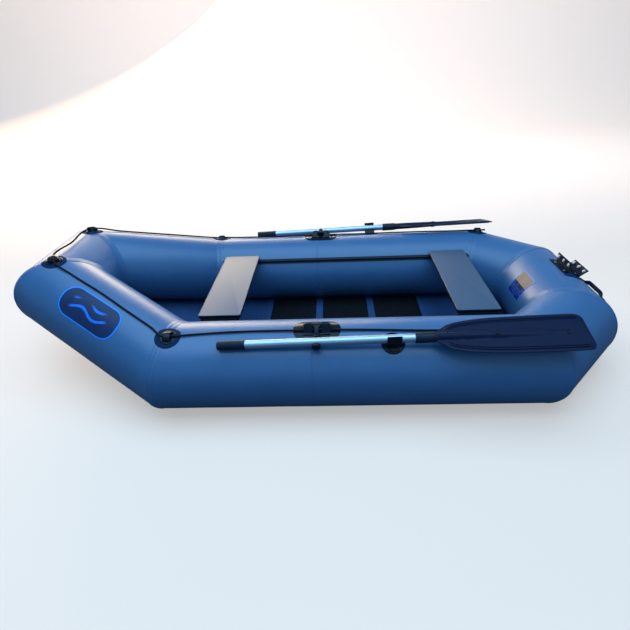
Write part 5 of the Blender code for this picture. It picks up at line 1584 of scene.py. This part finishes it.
def printed(name, frame_here, half_length, half_width, corner, rim, finishes, height):
    """Thin plate laid over the fabric, with a rim in its own finish and UVs in metres."""
    shape = bmesh.new()
    inner = rounded_outline(half_length - rim, half_width - rim, max(rim, corner - rim))
    flat = [rounded_outline(half_length, half_width, corner)]
    flat += [[(x * share, y * share) for x, y in inner] for share in PLATE_RINGS]
    count = len(inner)
    verts = grid(shape, [laid(frame_here, ring, height) for ring in flat], closed_row=True,
                 uv=lambda i, j: flat[i][j % count])
    shape.faces.ensure_lookup_table()
    edging = shape.faces[:count]
    layer = shape.loops.layers.uv.verify()
    for loop, place in zip(shape.faces.new(verts[-1]).loops, flat[-1]):
        loop[layer].uv = place
    back = [shape.verts.new(p) for p in laid(frame_here, flat[0], -0.0002)]
    edging += [*joined_rings(shape, verts[0], back), shape.faces.new(back)]
    for face in edging:
        face.material_index = 1
    return piece(name, outwards(shape), finishes, smooth=50)


# Half length, half width, corner and rim
BOW_PLATE = (0.158, 0.072, 0.064, 0.0056)
BOW_PLATE_PLACE = (0.487, 48.5)
BOW_PLATE_HEIGHT = 0.0011
STERN_PLATE = (0.062, 0.064, 0.006, 0.0022)
STERN_PLATE_Y = -0.020
STERN_PLATE_ANGLE = math.radians(34)
STERN_PLATE_HEIGHT = 0.0010


def prints():
    """The bow plate and the stern plate."""
    middle = quarter_point(*BOW_PLATE_PLACE, 0)
    on_axis, run, _ = TUBES["bow_quarter"]
    normal = middle - on_axis
    normal = normal - run * normal.dot(run)
    printed("bow_plate", standing_on(middle, normal, BOW_RUN), *BOW_PLATE,
            ("badge", "bright_rim"), BOW_PLATE_HEIGHT)
    normal = Vector((-math.cos(STERN_PLATE_ANGLE), 0, math.sin(STERN_PLATE_ANGLE)))
    middle = Vector((STERN.x, STERN_PLATE_Y, TUBE_RADIUS)) + normal * TUBE_RADIUS
    place = axes(middle, Y * -1, normal.cross(Y * -1), normal)
    printed("stern_plate", place, *STERN_PLATE, ("label", "bright_rim"), STERN_PLATE_HEIGHT)


def holder_ridges():
    """Raised rings on each oar holder's patch."""
    place = side_frame(*HOLDER_PLACE)
    shape = bmesh.new()
    for radius, half in HOLDER_RINGS:
        rows = [laid(place, circle(radius + share * half, 72), height)
                for share, height in ((-1.0, 0.0017), (-0.5, 0.0029), (0.5, 0.0029), (1.0, 0.0017),
                                      (0.0, 0.0008))]
        grid(shape, rows, closed_row=True, closed_column=True)
    on_both_sides("{}_holder_ridges", outwards(shape), "moulding")


# Stage


# Light: name, place, target, size, power, colour
LIGHTS = (
    ("warm_window", (-3.2, 7.3, 2.6), (-0.3, 0.2, 0.2), (9.6, 2.6), 800, (1.0, 0.82, 0.54)),
    ("wall_wash", (0.0, 2.8, 3.4), (0.0, 7.4, 0.9), (9.0, 0.8), 380, (0.80, 0.90, 1.0)),
    ("overhead", (-0.2, -0.6, 4.0), (-0.1, 0.0, 0.2), (5.6, 4.0), 245, (0.42, 0.74, 1.0)),
    ("front_low", (0.4, -4.6, 2.2), (0.0, 0.0, 0.2), (7.0, 2.2), 20, (0.36, 0.70, 1.0)),
)
CAMERA_PLACE = Vector((-0.060, -1.9234, 1.3006))
CAMERA_YAW = -0.0523
CAMERA_PITCH = 0.548
CAMERA_ROLL = -0.0505
SENSOR_WIDTH = 36
FOCAL_SHARE = 440 / 630


def sweep():
    """Pale sweep that runs up behind the boat, lit for the camera and dark to the boat."""
    bend = [(5.6 + 2.4 * math.sin(math.pi * i / 24), 2.4 - 2.4 * math.cos(math.pi * i / 24))
            for i in range(13)]
    shape = bmesh.new()
    grid(shape, [[Vector((x, y, z - 0.0006)) for y, z in [(-12.0, 0.0), *bend]]
                 for x in (16.0, -16.0)])
    made, tree, shader = start_material("sweep_paint", Roughness=0.85, Specular_IOR_Level=0.2)
    back = shader_node(tree, "SeparateXYZ", Vector=coordinates(tree)).outputs["Y"]
    paint = mixed(tree, ranged(tree, back, 0.0, 1.0, 1.0, 7.0), (0.10, 0.10, 0.12, 1),
                  (0.84, 0.78, 0.72, 1))
    watched = shader_node(tree, "LightPath").outputs["Is Camera Ray"]
    tree.links.new(mixed(tree, watched, paint, (0.52, 0.385, 0.335, 1)), shader.inputs["Base Color"])
    shader.inputs["Emission Color"].default_value = (0.96, 0.94, 0.92, 1)
    tree.links.new(math_node(tree, "MULTIPLY", watched, 0.42), shader.inputs["Emission Strength"])
    mesh = meshed("sweep", shape)
    mesh.materials.append(made)
    placed("sweep", mesh)


def stage():
    """Sweep, soft lights, sky and the camera."""
    sweep()
    for name, place, target, size, power, colour in LIGHTS:
        light = bpy.data.lights.new(name, "AREA")
        light.shape = "RECTANGLE"
        light.size, light.size_y = size
        light.energy = power
        light.color = colour
        obj = placed(name, light)
        obj.location = place
        obj.rotation_euler = (Vector(target) - Vector(place)).to_track_quat("-Z", "Y").to_euler()
        obj.visible_camera = False
    world = bpy.data.worlds.new("studio")
    world.use_nodes = True
    air = world.node_tree
    background = air.nodes["Background"]
    background.inputs["Strength"].default_value = 0.48
    watched = shader_node(air, "LightPath").outputs["Is Camera Ray"]
    haze = mixed(air, watched, (0.36, 0.68, 1.0, 1), (1.45, 1.50, 1.55, 1))
    air.links.new(haze, background.inputs["Color"])
    bpy.context.scene.world = world
    bpy.context.scene.view_settings.view_transform = "Standard"

    ahead = Vector((math.sin(CAMERA_YAW) * math.cos(CAMERA_PITCH),
                    math.cos(CAMERA_YAW) * math.cos(CAMERA_PITCH), -math.sin(CAMERA_PITCH)))
    level = Vector((math.cos(CAMERA_YAW), -math.sin(CAMERA_YAW), 0))
    upright = level.cross(ahead)
    right = level * math.cos(CAMERA_ROLL) + upright * math.sin(CAMERA_ROLL)
    up = -level * math.sin(CAMERA_ROLL) + upright * math.cos(CAMERA_ROLL)
    camera = bpy.data.cameras.new("camera")
    camera.sensor_width = SENSOR_WIDTH
    camera.lens = SENSOR_WIDTH * FOCAL_SHARE
    holder = placed("camera", camera)
    holder.matrix_world = axes(SHIFT @ CAMERA_PLACE, right, up, -ahead)
    bpy.context.scene.camera = holder


stage()
hull_skins()
rope_loops()
grab_line()
bottom_sheet()
slat_mat()
bracket_patch()
baffles()
slats()
seats()
grips()
knobs()
blades()
mouldings()
handle()
springs()
carried_over()
bolt_tree = instance_tree()
bracket_bolts(bolt_tree)
rowlock_details(bolt_tree)
holder_ridges()
prints()
